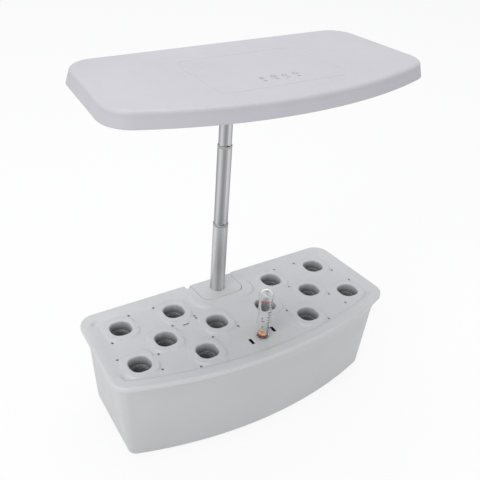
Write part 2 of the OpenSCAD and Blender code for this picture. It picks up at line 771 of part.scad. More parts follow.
module pole_head_screws() {
    color("silver")
        for (p = head_screws)
            translate([p.x, p.y, tray_z + 0.2]) {
                cylinder(r = screw_r - 0.1, h = tray_t + 2.4);
                translate([0, 0, tray_t + 2.2]) cylinder(r1 = 2.6, r2 = 2, h = 1.4);
            }
}

jack_r = 4;
jack_z = tray_top_z + 4.6;
jack_face_y = hood_d / 2 - hood_draft * (jack_z - hood_z) / (hood_h - hood_edge_r);

// A round socket with a centre pin, whose box sits on the tray.
module jack(x) {
    box = [11, 11, 9];
    inner_y = jack_face_y - hood_wall - seat_gap - hood_draft / 3;
    translate([x, 0, jack_z]) difference() {
        union() {
            translate([-box.x / 2, inner_y - box.y, tray_top_z - jack_z]) cube(box);
            translate([0, inner_y - 1, 0]) rotate([-90, 0, 0])
                cylinder(r = jack_r, h = jack_face_y - inner_y + 0.6);
        }
        translate([0, inner_y - 7, 0]) rotate([-90, 0, 0]) difference() {
            cylinder(r = 2.75, h = 14);
            translate([0, 0, -1]) cylinder(r = 1, h = 8.5);
        }
    }
}

module power_jack() {
    color("#2a2a2c") jack(jack_x[0]);
}

module pump_jack() {
    color("#2a2a2c") jack(jack_x[1]);
}

// ---- water gauge ----------------------------------------------------------

gauge_top_z = deck_z + gauge_h;
gauge_r = gauge_d / 2;

module dome(r, z0, z1) {
    translate([0, 0, z0]) cylinder(r = r, h = z1 - r - z0);
    translate([0, 0, z1 - r]) sphere(r = r);
}

module gauge_tube() {
    color(clear) translate([0, gauge_y, 0]) difference() {
        union() {
            dome(gauge_r, basin_z, gauge_top_z);
            translate([0, 0, basin_z]) cylinder(d = gauge_flange_d, h = gauge_flange_t);
        }
        difference() {
            dome(gauge_r - gauge_wall, basin_z - 1, gauge_top_z - gauge_wall);
            translate([-gauge_r, -gauge_r, basin_z - 12]) cube([gauge_d, gauge_d, 10]);
        }
    }
}

ring_z = gauge_top_z - gauge_r - 5.5;

module gauge_max_ring() {
    color("#c0343c") translate([0, gauge_y, ring_z]) difference() {
        cylinder(r = gauge_r + 0.35, h = 1.2);
        translate([0, 0, -1]) cylinder(r = gauge_r, h = 4);
    }
}

guide_wall = 1.2;
guide_flange_t = 1.6;
guide_foot_z = floor_z + 18;

// A slotted tube below the deck, which keeps the float upright.
module gauge_guide() {
    r = gauge_bore / 2 + guide_wall;
    h = ceiling_z - guide_foot_z;
    color(white) translate([0, gauge_y, guide_foot_z]) difference() {
        union() {
            cylinder(r = r, h = h);
            translate([0, 0, h - guide_flange_t]) cylinder(r = r + 3, h = guide_flange_t);
        }
        translate([0, 0, 2]) cylinder(d = gauge_bore, h = h);
        translate([0, 0, -1]) cylinder(r = 3, h = 5);
        for (a = [45, 135])
            rotate([0, 0, a]) translate([-r - 1, -1.5, 6]) cube([2 * r + 2, 3, h - 20]);
    }
}

float_foot_z = guide_foot_z + 2 + seat_gap;

module gauge_float() {
    r = gauge_bore / 2 - 0.7;
    disc_z = deck_z - 1;
    color("#e8a13c") translate([0, gauge_y, 0]) {
        translate([0, 0, float_foot_z]) cylinder(r = r, h = 22);
        translate([0, 0, float_foot_z + 21]) cylinder(r = 1.5, h = disc_z - float_foot_z - 20);
        translate([0, 0, disc_z]) cylinder(d1 = float_disc_d, d2 = float_disc_d - 1, h = 2);
        translate([0, 0, disc_z - 4]) cylinder(r1 = 1.5, r2 = 4, h = 4 + eps);
    }
}

// ---- pump -----------------------------------------------------------------

pump_at = [pump_place.x, deck_back_y - pump_place.y];
pump_z = floor_z + cup_h;
pump_axis_z = pump_z + 15;
chamber_x = pump_at.x + pump_size.x / 2 - chamber_l;
housing_end_x = pump_at.x + pump_size.x / 2;
nozzle_x = housing_end_x - 6.5;
// Depth of the shaft's seat in the strainer
shaft_seat = 1.3;

module along_x(x, z = pump_axis_z) {
    translate([x, pump_at.y, z]) rotate([0, 90, 0]) children();
}

module pump_housing() {
    color("#303234") difference() {
        union() {
            translate([pump_at.x, pump_at.y, 0])
                rounded_slab(pump_size.x, pump_size.y, 5, pump_z, pump_z + pump_size.z);
            translate([nozzle_x, pump_at.y, pump_z + pump_size.z]) cylinder(r = 6, h = 3);
        }
        along_x(chamber_x) cylinder(r = chamber_r, h = chamber_l + 1);
        along_x(chamber_x - rotor_l) cylinder(r = rotor_r, h = rotor_l + 1);
        along_x(chamber_x - rotor_l - 4) cylinder(r = shaft_r, h = 5);
        // Outlet
        translate([nozzle_x, pump_at.y, pump_axis_z]) cylinder(r = 2.8, h = 30);
    }
}

module pump_strainer() {
    w = [pump_size.y - 8, pump_size.z - 6];
    color("#26282a") difference() {
        union() {
            difference() {
                translate([housing_end_x, pump_at.y - w.x / 2, pump_z + 1]) cube([strainer_t, w.x, w.y]);
                for (i = [-3:1:3])
                    translate([housing_end_x - 1, pump_at.y + i * 3.4 - 0.8, pump_z + 5])
                        cube([strainer_t + 2, 1.6, w.y - 8]);
            }
            // Hub that holds the end of the shaft
            along_x(housing_end_x) cylinder(r = 3, h = strainer_t);
        }
        along_x(housing_end_x - 1) cylinder(r = shaft_r, h = 1 + shaft_seat);
    }
}

module pump_shaft() {
    color("#e6e6e2") along_x(chamber_x - rotor_l - 4)
        cylinder(r = shaft_r, h = rotor_l + chamber_l + 4 + shaft_seat);
}

module pump_impeller() {
    run = 0.5;
    color("#5a5c60") difference() {
        union() {
            along_x(chamber_x - rotor_l + run) cylinder(r = rotor_r - run, h = rotor_l);
            along_x(chamber_x + run) cylinder(r = 3, h = chamber_l - 2 * run);
            along_x(chamber_x + run) cylinder(r = chamber_r - 2 * run, h = 1.2);
            for (i = [0:blades - 1])
                along_x(chamber_x + run) rotate([0, 0, i * 360 / blades])
                    translate([2, -0.6, 0]) cube([chamber_r - 2 * run - 3, 1.2, chamber_l - 2 * run]);
        }
        along_x(chamber_x - rotor_l - 1) cylinder(r = shaft_r + shaft_gap, h = rotor_l + chamber_l + 2);
    }
}

module pump_nozzle() {
    z = pump_z + pump_size.z + 3;
    color("#303234") translate([nozzle_x, pump_at.y, z]) difference() {
        union() {
            cylinder(r = 6, h = 1.6);
            cylinder(r = 4.6, h = 9);
            translate([0, 0, 9]) cylinder(r1 = 4.6, r2 = 3.8, h = 1.6);
        }
        translate([0, 0, -1]) cylinder(r = 2.8, h = 14);
    }
}

module pump_gland() {
    color("#1e1f20") translate([pump_at.x - pump_size.x / 2, pump_at.y, pump_axis_z]) rotate([0, -90, 0]) {
        cylinder(r = 4, h = 2);
        cylinder(r1 = 3, r2 = 2.2, h = 8);
    }
}

module suction_cups() {
    color("#3c3e40")
        for (sx = [-1, 1], sy = [-1, 1])
            translate([pump_at.x + sx * 12, pump_at.y + sy * 10, floor_z])
                rotate_extrude()
                    polygon([[0, 1], [3, 0.8], [5.5, 0], [6, 0.1], [3.4, 1.8], [3, cup_h], [0, cup_h]]);
}

// ---- baskets --------------------------------------------------------------

module basket(i) {
    p = PODS[i - 1];
    w = throat_w - 2 * basket_gap;
    inner_top = basket_top_r - basket_wall;
    inner_bottom = basket_bottom_r - basket_wall;
    color(clear) translate([p.x, p.y, ledge_z]) difference() {
        union() {
            linear_extrude(basket_flange_t) polygon(rounded(w, w, throat_r - basket_gap));
            translate([0, 0, -basket_l])
                cylinder(r1 = basket_bottom_r, r2 = basket_top_r, h = basket_l + eps);
        }
        translate([0, 0, -basket_l + 1.6])
            cylinder(r1 = inner_bottom, r2 = inner_top, h = basket_l - 1.6 + eps);
        cylinder(r1 = inner_top, r2 = inner_top + 1.2, h = basket_flange_t + 1);
        for (k = [0:basket_slots - 1])
            rotate([0, 0, (k + 0.5) * 360 / basket_slots])
                translate([0, -slot_w / 2, -basket_l + 4]) cube([20, slot_w, basket_l - 14]);
        for (k = [-1, 0, 1])
            translate([-5, k * 4 - 1, -basket_l - 1]) cube([10, 2, 4]);
    }
}

tank();
rubber_feet();
deck();
pole_base();
lower_tube();
lower_collar();
middle_tube();
middle_collar();
upper_tube();
hood_cover();
hood_tray();
hood_screws();
window_lens();
led_board();
led_chips();
control_board();
touch_pads();
pole_head();
pole_head_screws();
power_jack();
pump_jack();
gauge_tube();
gauge_max_ring();
gauge_guide();
gauge_float();
pump_housing();
pump_strainer();
pump_impeller();
pump_shaft();
pump_nozzle();
pump_gland();
suction_cups();
for (i = [1:12]) basket(i);
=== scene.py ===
"""Looks of the countertop hydroponic garden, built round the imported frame.

Sizes are in millimetres, as in the frame's own source, and turn into metres as a mesh is made.
"""

import math

import bmesh
import bpy
import numpy as np
from mathutils import Matrix, Vector
from mathutils.geometry import delaunay_2d_cdt


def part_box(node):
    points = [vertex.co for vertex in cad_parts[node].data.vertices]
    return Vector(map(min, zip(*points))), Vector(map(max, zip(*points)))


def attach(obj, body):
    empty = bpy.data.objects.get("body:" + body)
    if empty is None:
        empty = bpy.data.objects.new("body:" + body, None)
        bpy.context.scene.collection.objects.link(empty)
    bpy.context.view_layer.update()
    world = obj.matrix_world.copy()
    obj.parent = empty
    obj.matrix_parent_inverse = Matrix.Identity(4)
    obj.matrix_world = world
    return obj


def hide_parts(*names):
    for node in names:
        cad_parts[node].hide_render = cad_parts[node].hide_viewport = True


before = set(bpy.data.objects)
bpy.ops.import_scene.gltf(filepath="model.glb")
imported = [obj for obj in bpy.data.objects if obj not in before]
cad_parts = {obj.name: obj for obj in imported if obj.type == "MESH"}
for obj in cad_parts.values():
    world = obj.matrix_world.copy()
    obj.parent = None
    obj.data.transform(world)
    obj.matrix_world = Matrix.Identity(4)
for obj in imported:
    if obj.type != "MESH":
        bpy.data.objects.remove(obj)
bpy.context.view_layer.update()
MM = 0.001


# ---- sizes -----------------------------------------------------------------

def top_of(node):
    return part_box(node)[1].z / MM


def bottom_of(node):
    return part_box(node)[0].z / MM


# An outline is [back width, front width, back y, front y, bow radius, corner radius].
HOOD_DEPTH = (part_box("hood_cover")[1].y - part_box("hood_cover")[0].y) / MM
DECK_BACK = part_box("deck")[1].y / MM
DECK = [384, 400, DECK_BACK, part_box("deck")[0].y / MM, 572, 21.5]
HOOD = [371, 397, HOOD_DEPTH / 2, -HOOD_DEPTH / 2, 511, 35]

# Deck's upper face and the tank's rim below it
PAD_RISE = 2.0
FIELD_DROP = 2.8
DECK_Z = top_of("deck")
FIELD_Z = DECK_Z - FIELD_DROP
RIM_Z = top_of("tank")
FIELD_T = 3.2
CEILING_Z = FIELD_Z - FIELD_T
BASIN_DROP = 0.6
BAND_W = 12.0
STEP_W = 5.0
LIP_EDGE_R = 2.0
TANK_WALL = 2.2
RIM_SETBACK = 0.5
FLARE = 8.7
FLARE_H = 25.0
FOOT_Z = bottom_of("tank")
FLOOR_EDGE_R = 3.5
SKIRT_L = 6.0

# Pads, and the pod wells in them
PAD_W = 43.0
PAD_R = 13.0
THROAT_W = 26.5
THROAT_R = 11.0
MOUTH_R = 2.0
THROAT_WALL = 1.8
LEDGE_DEPTH = 15.0
LEDGE_Z = DECK_Z - LEDGE_DEPTH
LEDGE_T = 2.4
LEDGE_HOLE_R = 11.4
SUPPORT_R = 1.7
SUPPORT_OFFSET = 19.6

# Water gauge, and the two filling slots beside it
GAUGE_Y = (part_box("gauge_tube")[0].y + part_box("gauge_tube")[1].y) / 2 / MM
GAUGE_R = 8.5
GAUGE_WALL = 1.3
GAUGE_TOP = top_of("gauge_tube")
FILL_SLOT = (4.0, 10.0)
FILL_SLOT_R = 0.6
FILL_SLOT_X = 18.5
FILL_SLOT_STAGGER = 3.7

# Small slot in the deck's left half: width, depth and corner radius
VENT_SLOT = (9, 2, 0.9)
VENT_X = -74
VENT_Y = DECK_BACK - 70.55

# Pole
POLE_Y = (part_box("lower_collar")[0].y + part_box("lower_collar")[1].y) / 2 / MM
POLE_R = 9.85
TUBE_STEP = 0.8
KEY_R = 1.5
KEY_CENTRE = POLE_R + KEY_R / 3
COLLAR_PROUD = 0.15
COLLAR_BORE_GAP = 0.65
COLLAR_EDGE_R = 0.9

# Hood, and the fine line round its touch field
HOOD_Z = bottom_of("hood_cover")
HOOD_TOP = top_of("hood_cover")
HOOD_LEAN = 3.2
HOOD_EDGE_R = 4.5
HOOD_WALL = 2.2
HOOD_FRONT = -HOOD_DEPTH / 2
TOUCH_LINE = (159.0, 102.0, 15.0)
TOUCH_LINE_W = 0.9
TOUCH_LINE_DEPTH = 0.25
TOUCH_Y = HOOD_FRONT + 89.55
ICON_Y = HOOD_FRONT + 63.2
ICON_XS = (-18.5, -3.5, 9.5, 23.5)
ICON_STROKE = 0.5
DASH_DROP = 7.6
DASH_STROKE = 0.9


# ---- outlines --------------------------------------------------------------

def inset(o, d):
    return [o[0] - 2 * d, o[1] - 2 * d, o[2] - d, o[3] + d, o[4] - d, max(o[5] - d, 1.5)]


def arc(c, r, a0, a1, n):
    steps = [math.radians(a0 + (a1 - a0) * i / n) for i in range(n + 1)]
    return [Vector((c[0] + r * math.cos(a), c[1] + r * math.sin(a))) for a in steps]


def bow_y(o, x):
    return o[3] + o[4] - math.sqrt(o[4] ** 2 - x * x)


def half_outline(o, corner_n=12, bow_n=36):
    """Right half of an outline, from the back edge round to the middle of the front."""
    r = o[5]
    corner = Vector((o[1] / 2, bow_y(o, o[1] / 2)))
    back = Vector((o[0] / 2, o[2]))
    bow_c = Vector((0, o[3] + o[4]))
    side = (corner - back).normalized()
    out = Vector((-side.y, side.x))
    base = back - r * out
    back_c = base + side * ((r * out.y - r) / side.y)
    q = base - bow_c
    qs = q.dot(side)
    front_c = base + side * (math.sqrt(qs * qs - q.dot(q) + (o[4] - r) ** 2) - qs)
    a_side = math.degrees(math.atan2(out.y, out.x))
    a_bow = math.degrees(math.atan2(front_c.y - bow_c.y, front_c.x))
    return (arc(back_c, r, 90, a_side, corner_n) + arc(front_c, r, a_side, a_bow, corner_n)
            + arc(bow_c, o[4], a_bow, -90, bow_n)[1:])


def outline(o):
    """Whole outline, anticlockwise from the middle of the front."""
    half = half_outline(o)
    return half[::-1] + [Vector((-p.x, p.y)) for p in half[:-1]]


def open_outline(o, x_right, x_left):
    """The same, opened at the back between two places, and run clockwise from the right one."""
    half = half_outline(o)
    left = [Vector((-p.x, p.y)) for p in half[-2::-1]]
    return [Vector((x_right, o[2]))] + half + left + [Vector((x_left, o[2]))]


def rounded(w, d, r, n=9):
    return (arc((w / 2 - r, r - d / 2), r, -90, 0, n) + arc((w / 2 - r, d / 2 - r), r, 0, 90, n)
            + arc((r - w / 2, d / 2 - r), r, 90, 180, n) + arc((r - w / 2, r - d / 2), r, 180, 270, n))


def circle(r, n=16):
    return arc((0, 0), r, 0, 360, n)[:-1]


def moved(points, x, y):
    return [Vector((p.x + x, p.y + y)) for p in points]


def at_z(points, z):
    return [(p.x, p.y, z) for p in points]


# ---- meshes ----------------------------------------------------------------

class Patchwork:
    """Patches of one surface, welded into a mesh where they meet."""

    def __init__(self):
        self.verts = []
        self.faces = []

    def rows(self, rows, closed=True, start_cap=False, end_cap=False, side_caps=False):
        """A grid through rows of equal length. closed joins each row's end to its start."""
        base = len(self.verts)
        n = len(rows[0])
        for row in rows:
            self.verts += [tuple(p) for p in row]
        last = n if closed else n - 1
        for k in range(len(rows) - 1):
            for i in range(last):
                j = (i + 1) % n
                self.faces.append([base + k * n + i, base + k * n + j,
                                   base + (k + 1) * n + j, base + (k + 1) * n + i])
        if start_cap:
            self.faces.append([base + i for i in range(n)])
        if end_cap:
            self.faces.append([base + (len(rows) - 1) * n + i for i in range(n)][::-1])
        if side_caps:
            for i in (0, n - 1):
                self.faces.append([base + k * n + i for k in range(len(rows))])

    def sheet(self, loops, inside, height, points=()):
        """A triangulated region bounded by loops, at height(x, y)."""
        flat = [p for loop in loops for p in loop]
        edges = []
        start = 0
        for loop in loops:
            edges += [(start + i, start + (i + 1) % len(loop)) for i in range(len(loop))]
            start += len(loop)
        flat += list(points)
        coords, _, tris, _, _, _ = delaunay_2d_cdt(flat, edges, [], 0, 1e-4)
        centres = np.array([[(coords[a].x + coords[b].x + coords[c].x) / 3,
                             (coords[a].y + coords[b].y + coords[c].y) / 3] for a, b, c in tris])
        keep = inside(centres)
        xy = np.array([[c.x, c.y] for c in coords])
        z = height(xy)
        base = len(self.verts)
        self.verts += [(x, y, h) for (x, y), h in zip(xy.tolist(), z.tolist())]
        self.faces += [[base + i for i in t] for t, k in zip(tris, keep) if k]

    def make(self, name, angle=35.0, weld=2e-6):
        mesh = bpy.data.meshes.new(name)
        bm = bmesh.new()
        made = [bm.verts.new([c * MM for c in v]) for v in self.verts]
        for f in self.faces:
            corners = [made[i] for i in dict.fromkeys(f)]
            if len(corners) > 2:
                try:
                    bm.faces.new(corners)
                except ValueError:
                    pass
        bmesh.ops.remove_doubles(bm, verts=bm.verts, dist=weld)
        loose = [v for v in bm.verts if not v.link_faces]
        bmesh.ops.delete(bm, geom=loose, context="VERTS")
        bmesh.ops.recalc_face_normals(bm, faces=bm.faces)
        bm.to_mesh(mesh)
        bm.free()
        mesh.shade_smooth()
        mesh.set_sharp_from_angle(angle=math.radians(angle))
        obj = bpy.data.objects.new(name, mesh)
        bpy.context.scene.collection.objects.link(obj)
        return obj


def place(obj, body, material, slot, *nodes):
    """Gives a finished piece its material and its body, and hides the nodes it stands for."""
    obj.data.materials.clear()
    obj.data.materials.append(material)
    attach(obj, body)
    if nodes:
        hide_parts(*nodes)
    return obj


def revolve(profile, n=64):
    """Rows of a turned shape from (radius, height) points."""
    return [[(r * c.x, r * c.y, z) for c in circle(1.0, n)] for r, z in profile]


# Distances on arrays of points, positive inside.

def polygon_distance(xy, poly):
    p = np.array([[v.x, v.y] for v in poly])
    a, b = p, np.roll(p, -1, axis=0)
    best = np.full(len(xy), 1e9)
    crossings = np.zeros(len(xy), int)
    for (ax, ay), (bx, by) in zip(a, b):
        ex, ey = bx - ax, by - ay
        t = ((xy[:, 0] - ax) * ex + (xy[:, 1] - ay) * ey) / max(ex * ex + ey * ey, 1e-12)
        t = np.clip(t, 0, 1)
        best = np.minimum(best, np.hypot(xy[:, 0] - ax - t * ex, xy[:, 1] - ay - t * ey))
        if ay != by:
            cut = (ay > xy[:, 1]) != (by > xy[:, 1])
            crossings += cut & (xy[:, 0] < ex * (xy[:, 1] - ay) / ey + ax)
    return np.where(crossings % 2 == 1, best, -best)


def rounded_distance(xy, cx, cy, w, d, r):
    qx = np.abs(xy[:, 0] - cx) - (w / 2 - r)
    qy = np.abs(xy[:, 1] - cy) - (d / 2 - r)
    outside = np.hypot(np.maximum(qx, 0), np.maximum(qy, 0))
    return r - outside - np.minimum(np.maximum(qx, qy), 0)


def soft(d, w):
    """0 to 1 across a slope of width w that is centred on distance 0."""
    t = np.clip(d / w + 0.5, 0, 1)
    return t * t * (3 - 2 * t)


# ---- materials -------------------------------------------------------------

def srgb(*rgb):
    lin = [c / 12.92 if c <= 0.04045 else ((c + 0.055) / 1.055) ** 2.4 for c in rgb]
    return (*lin, 1.0)


def new_material(name):
    mat = bpy.data.materials.new(name)
    mat.use_nodes = True
    nodes = mat.node_tree.nodes
    return mat, nodes, mat.node_tree.links, nodes["Principled BSDF"]


def coords(nodes, links, scale=(1, 1, 1)):
    tex = nodes.new("ShaderNodeTexCoord")
    mapping = nodes.new("ShaderNodeMapping")
    mapping.inputs["Scale"].default_value = scale
    links.new(tex.outputs["Object"], mapping.inputs["Vector"])
    return mapping.outputs["Vector"]


def noise(nodes, links, vector, scale, detail=3.0):
    tex = nodes.new("ShaderNodeTexNoise")
    tex.inputs["Scale"].default_value = scale
    tex.inputs["Detail"].default_value = detail
    links.new(vector, tex.inputs["Vector"])
    return tex.outputs["Fac"]


def ranged(nodes, links, value, low, high, clip=(0.3, 0.7)):
    node = nodes.new("ShaderNodeMapRange")
    node.inputs["From Min"].default_value = clip[0]
    node.inputs["From Max"].default_value = clip[1]
    node.inputs["To Min"].default_value = low
    node.inputs["To Max"].default_value = high
    links.new(value, node.inputs["Value"])
    return node.outputs["Result"]


def tinted(nodes, links, value, dark, light):
    node = nodes.new("ShaderNodeMix")
    node.data_type = "RGBA"
    node.inputs["A"].default_value = dark
    node.inputs["B"].default_value = light
    links.new(value, node.inputs["Factor"])
    return node.outputs["Result"]


def bump(nodes, links, height, strength, distance):
    node = nodes.new("ShaderNodeBump")
    node.inputs["Strength"].default_value = strength
    node.inputs["Distance"].default_value = distance
    links.new(height, node.inputs["Height"])
    return node.outputs["Normal"]


def plastic(name, colour, roughness=0.4, grain=0.25, shade=0.975):
    """Moulded plastic: faint cloudy colour, uneven gloss and a fine spark-eroded grain."""
    mat, nodes, links, bsdf = new_material(name)
    vec = coords(nodes, links)
    cloud = ranged(nodes, links, noise(nodes, links, vec, 9.0), 0.0, 1.0)
    dark = srgb(*[c * shade for c in colour])
    links.new(tinted(nodes, links, cloud, dark, srgb(*colour)), bsdf.inputs["Base Color"])
    wear = noise(nodes, links, vec, 60.0, 4.0)
    links.new(ranged(nodes, links, wear, roughness - 0.04, roughness + 0.05), bsdf.inputs["Roughness"])
    fine = noise(nodes, links, vec, 2600.0, 2.0)
    links.new(bump(nodes, links, fine, grain, 0.00004), bsdf.inputs["Normal"])
    return mat


def plastic_with_painted_depth_shade(name, colour, painted_shade_colour, z_light, z_dark):
    """Moulded plastic of a well, with fine ribs down it, and painted shade: its colour darkens with depth
    from z_light down to z_dark, where the well lies in shade.
    """
    mat, nodes, links, bsdf = new_material(name)
    apart = nodes.new("ShaderNodeSeparateXYZ")
    links.new(nodes.new("ShaderNodeTexCoord").outputs["Object"], apart.inputs[0])
    ribs = noise(nodes, links, coords(nodes, links, (1, 1, 0.08)), 900.0, 2.0)
    # The shade's height varies by this much from rib to rib, half of it up and half down
    swing = 0.006
    uneven = nodes.new("ShaderNodeMath")
    uneven.operation = "MULTIPLY_ADD"
    uneven.inputs[1].default_value = swing
    links.new(ribs, uneven.inputs[0])
    links.new(apart.outputs["Z"], uneven.inputs[2])
    span = (z_light * MM + swing / 2, z_dark * MM + swing / 2)
    # Painted shade: 0 near the top of the well, 1 from z_dark down.
    depth = ranged(nodes, links, uneven.outputs[0], 0.0, 1.0, span)
    links.new(tinted(nodes, links, depth, srgb(*colour), srgb(*painted_shade_colour)), bsdf.inputs["Base Color"])
    links.new(ranged(nodes, links, ribs, 0.3, 0.45), bsdf.inputs["Roughness"])
    links.new(bump(nodes, links, ribs, 0.6, 0.0006), bsdf.inputs["Normal"])
    return mat


def painted_reflection_bands(nodes, links, count=5, painted_highlight_bearing=-155.0):
    """Painted reflections: 0 to 1 in soft bands round the pole's axis, one of them brightest at a bearing
    in degrees.
    """
    mapping = nodes.new("ShaderNodeMapping")
    mapping.inputs["Location"].default_value = (0, -POLE_Y * MM, 0)
    links.new(nodes.new("ShaderNodeTexCoord").outputs["Object"], mapping.inputs["Vector"])
    apart = nodes.new("ShaderNodeSeparateXYZ")
    links.new(mapping.outputs["Vector"], apart.inputs[0])
    bearing = nodes.new("ShaderNodeMath")
    bearing.operation = "ARCTAN2"
    links.new(apart.outputs["Y"], bearing.inputs[0])
    links.new(apart.outputs["X"], bearing.inputs[1])
    phase = nodes.new("ShaderNodeMath")
    phase.operation = "MULTIPLY_ADD"
    phase.inputs[1].default_value = count
    phase.inputs[2].default_value = -count * math.radians(painted_highlight_bearing)
    links.new(bearing.outputs[0], phase.inputs[0])
    wave = nodes.new("ShaderNodeMath")
    wave.operation = "COSINE"
    links.new(phase.outputs[0], wave.inputs[0])
    return ranged(nodes, links, wave.outputs[0], 0, 1, (-1, 1))


def streaks(nodes, links, bsdf, roughness):
    """Makes a shader metal with fine streaks along Z in gloss and height, and returns the streaks."""
    lines = noise(nodes, links, coords(nodes, links, (1, 1, 0.01)), 2200.0, 3.0)
    links.new(ranged(nodes, links, lines, roughness - 0.03, roughness + 0.04), bsdf.inputs["Roughness"])
    links.new(bump(nodes, links, lines, 0.06, 0.00002), bsdf.inputs["Normal"])
    bsdf.inputs["Metallic"].default_value = 1.0
    return lines


def metal_with_painted_reflections(name, dark, light, roughness):
    """Drawn tube metal with painted reflections: soft light and dark bands round its axis in the base
    colour.
    """
    mat, nodes, links, bsdf = new_material(name)
    streaks(nodes, links, bsdf, roughness)
    bands = painted_reflection_bands(nodes, links)
    links.new(tinted(nodes, links, bands, srgb(*dark), srgb(*light)), bsdf.inputs["Base Color"])
    return mat


def metal(name, colour, roughness):
    """Plain metal, whose streaks show in its colour too."""
    mat, nodes, links, bsdf = new_material(name)
    lines = ranged(nodes, links, streaks(nodes, links, bsdf, roughness), 0, 1)
    dark = [c * 0.985 for c in colour]
    links.new(tinted(nodes, links, lines, srgb(*dark), srgb(*colour)), bsdf.inputs["Base Color"])
    return mat


def clear(name, colour, roughness=0.03, transmission=1.0, ior=1.46):
    """Clear moulded plastic with faint flow marks."""
    mat, nodes, links, bsdf = new_material(name)
    vec = coords(nodes, links, (1, 1, 0.3))
    flow = noise(nodes, links, vec, 120.0, 2.0)
    links.new(ranged(nodes, links, flow, roughness, roughness + 0.05), bsdf.inputs["Roughness"])
    links.new(bump(nodes, links, flow, 0.08, 0.0001), bsdf.inputs["Normal"])
    bsdf.inputs["Base Color"].default_value = srgb(*colour)
    bsdf.inputs["Transmission Weight"].default_value = transmission
    bsdf.inputs["IOR"].default_value = ior
    return mat


M_DECK = plastic("white_deck_plastic", (0.80, 0.80, 0.81), 0.42)
M_TANK = plastic("white_tank_plastic", (0.765, 0.765, 0.77), 0.36, 0.18)
# Pod wells: painted shade darkens the plastic's colour from 2 mm below the deck's top down to 13 mm below
# it.
M_WELL_PAINTED_SHADE = plastic_with_painted_depth_shade("pod_well_plastic_painted_shade", (0.79, 0.795, 0.805), (0.47, 0.475, 0.485),
                        DECK_Z - 2.0, DECK_Z - 13.0)
# Walls of the deck's holes in painted shade: nearly black in the slots and the gauge's hole, a little
# darker than the deck in the small holes.
M_SLOT_WALL_SHADE = plastic("slot_wall_painted_shade", (0.15, 0.15, 0.155), 0.6, 0.3, 0.9)
M_HOLE_WALL_SHADE = plastic("hole_wall_painted_shade", (0.74, 0.74, 0.745), 0.6, 0.3, 0.9)
M_HOOD = plastic("white_hood_plastic", (0.735, 0.73, 0.752), 0.5, 0.3)
M_TRAY = plastic("white_tray_plastic", (0.82, 0.82, 0.83), 0.45)
# Pole tubes: their base colour carries painted reflections in bands round the axis.
M_TUBE = metal_with_painted_reflections("tube_metal_painted_reflections", (0.56, 0.56, 0.57), (0.80, 0.80, 0.81), 0.3)
# The lower tube's metal is a copy of the tube metal, painted lighter to stand in for the brighter
# reflections it shows, with its own painted reflection bands.
M_LOWER_TUBE_PAINTED_LIGHTER = metal_with_painted_reflections("lower_tube_metal", (0.72, 0.72, 0.725), (0.86, 0.86, 0.865), 0.36)
M_COLLAR = metal("collar_metal", (0.66, 0.665, 0.65), 0.38)
M_SCREW = metal("screw_steel", (0.62, 0.62, 0.64), 0.3)
M_RUBBER = plastic("dark_rubber", (0.16, 0.16, 0.17), 0.75, 0.5, 0.85)
M_CLEAR = clear("clear_gauge_plastic", (0.985, 0.99, 0.99), ior=1.33)
M_LENS = clear("clear_window_plastic", (0.95, 0.96, 0.96), 0.12)
M_BASKET = clear("clear_basket_plastic", (0.78, 0.80, 0.81), 0.14, 0.7)
M_WHITE = plastic("white_mark", (0.90, 0.90, 0.90), 0.4, 0.1, 0.97)
M_RED = plastic("red_mark", (0.74, 0.16, 0.20), 0.35, 0.1, 0.92)
M_ORANGE = plastic("orange_float", (0.97, 0.72, 0.24), 0.35, 0.1, 0.93)
M_BOARD = plastic("white_solder_mask", (0.90, 0.90, 0.87), 0.35, 0.2)
M_CHIP = plastic("phosphor_yellow", (0.93, 0.83, 0.42), 0.3, 0.1, 0.9)
M_CONTROL = plastic("green_solder_mask", (0.10, 0.32, 0.20), 0.35, 0.3, 0.8)
M_BLACK = plastic("black_plastic", (0.07, 0.07, 0.075), 0.35, 0.3, 0.8)
M_PUMP = plastic("pump_plastic", (0.11, 0.115, 0.12), 0.45, 0.5, 0.85)
M_IMPELLER = plastic("impeller_plastic", (0.26, 0.27, 0.29), 0.4, 0.3, 0.9)
M_SHAFT = plastic("ceramic_shaft", (0.86, 0.86, 0.83), 0.2, 0.05, 0.97)
M_INK = plastic("grey_ink", (0.30, 0.30, 0.32), 0.5, 0.1, 0.95)
M_DARK_INK = plastic("dark_ink", (0.14, 0.14, 0.15), 0.5, 0.1, 0.9)

NODE_MATERIALS = {
    "rubber_feet": M_RUBBER, "pole_base": M_DECK, "hood_tray": M_TRAY, "hood_screws": M_SCREW,
    "window_lens": M_LENS, "led_board": M_BOARD, "led_chips": M_CHIP, "control_board": M_CONTROL,
    "touch_pads": M_BLACK, "pole_head": M_DECK, "pole_head_screws": M_SCREW, "power_jack": M_BLACK,
    "pump_jack": M_BLACK, "gauge_guide": M_DECK, "pump_housing": M_PUMP, "pump_strainer": M_PUMP,
    "pump_impeller": M_IMPELLER, "pump_shaft": M_SHAFT, "pump_nozzle": M_PUMP, "pump_gland": M_RUBBER,
    "suction_cups": M_RUBBER,
}


def dress_nodes():
    for name, mat in NODE_MATERIALS.items():
        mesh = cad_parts[name].data
        mesh.materials.clear()
        mesh.materials.append(mat)


# ---- deck ------------------------------------------------------------------

FRONT_INSET = 41.9
BACK_ROW = DECK_BACK - 41.0
MIDDLE_ROW = DECK_BACK - 84.75
# Each is [x, y, side on which the front support hole lies].
RIGHT_PODS = [(76, BACK_ROW, -1), (150, BACK_ROW, 1), (37, MIDDLE_ROW, -1), (110, MIDDLE_ROW, 1),
              (76, bow_y(DECK, 76) + FRONT_INSET, 1), (157, bow_y(DECK, 157) + FRONT_INSET, -1)]


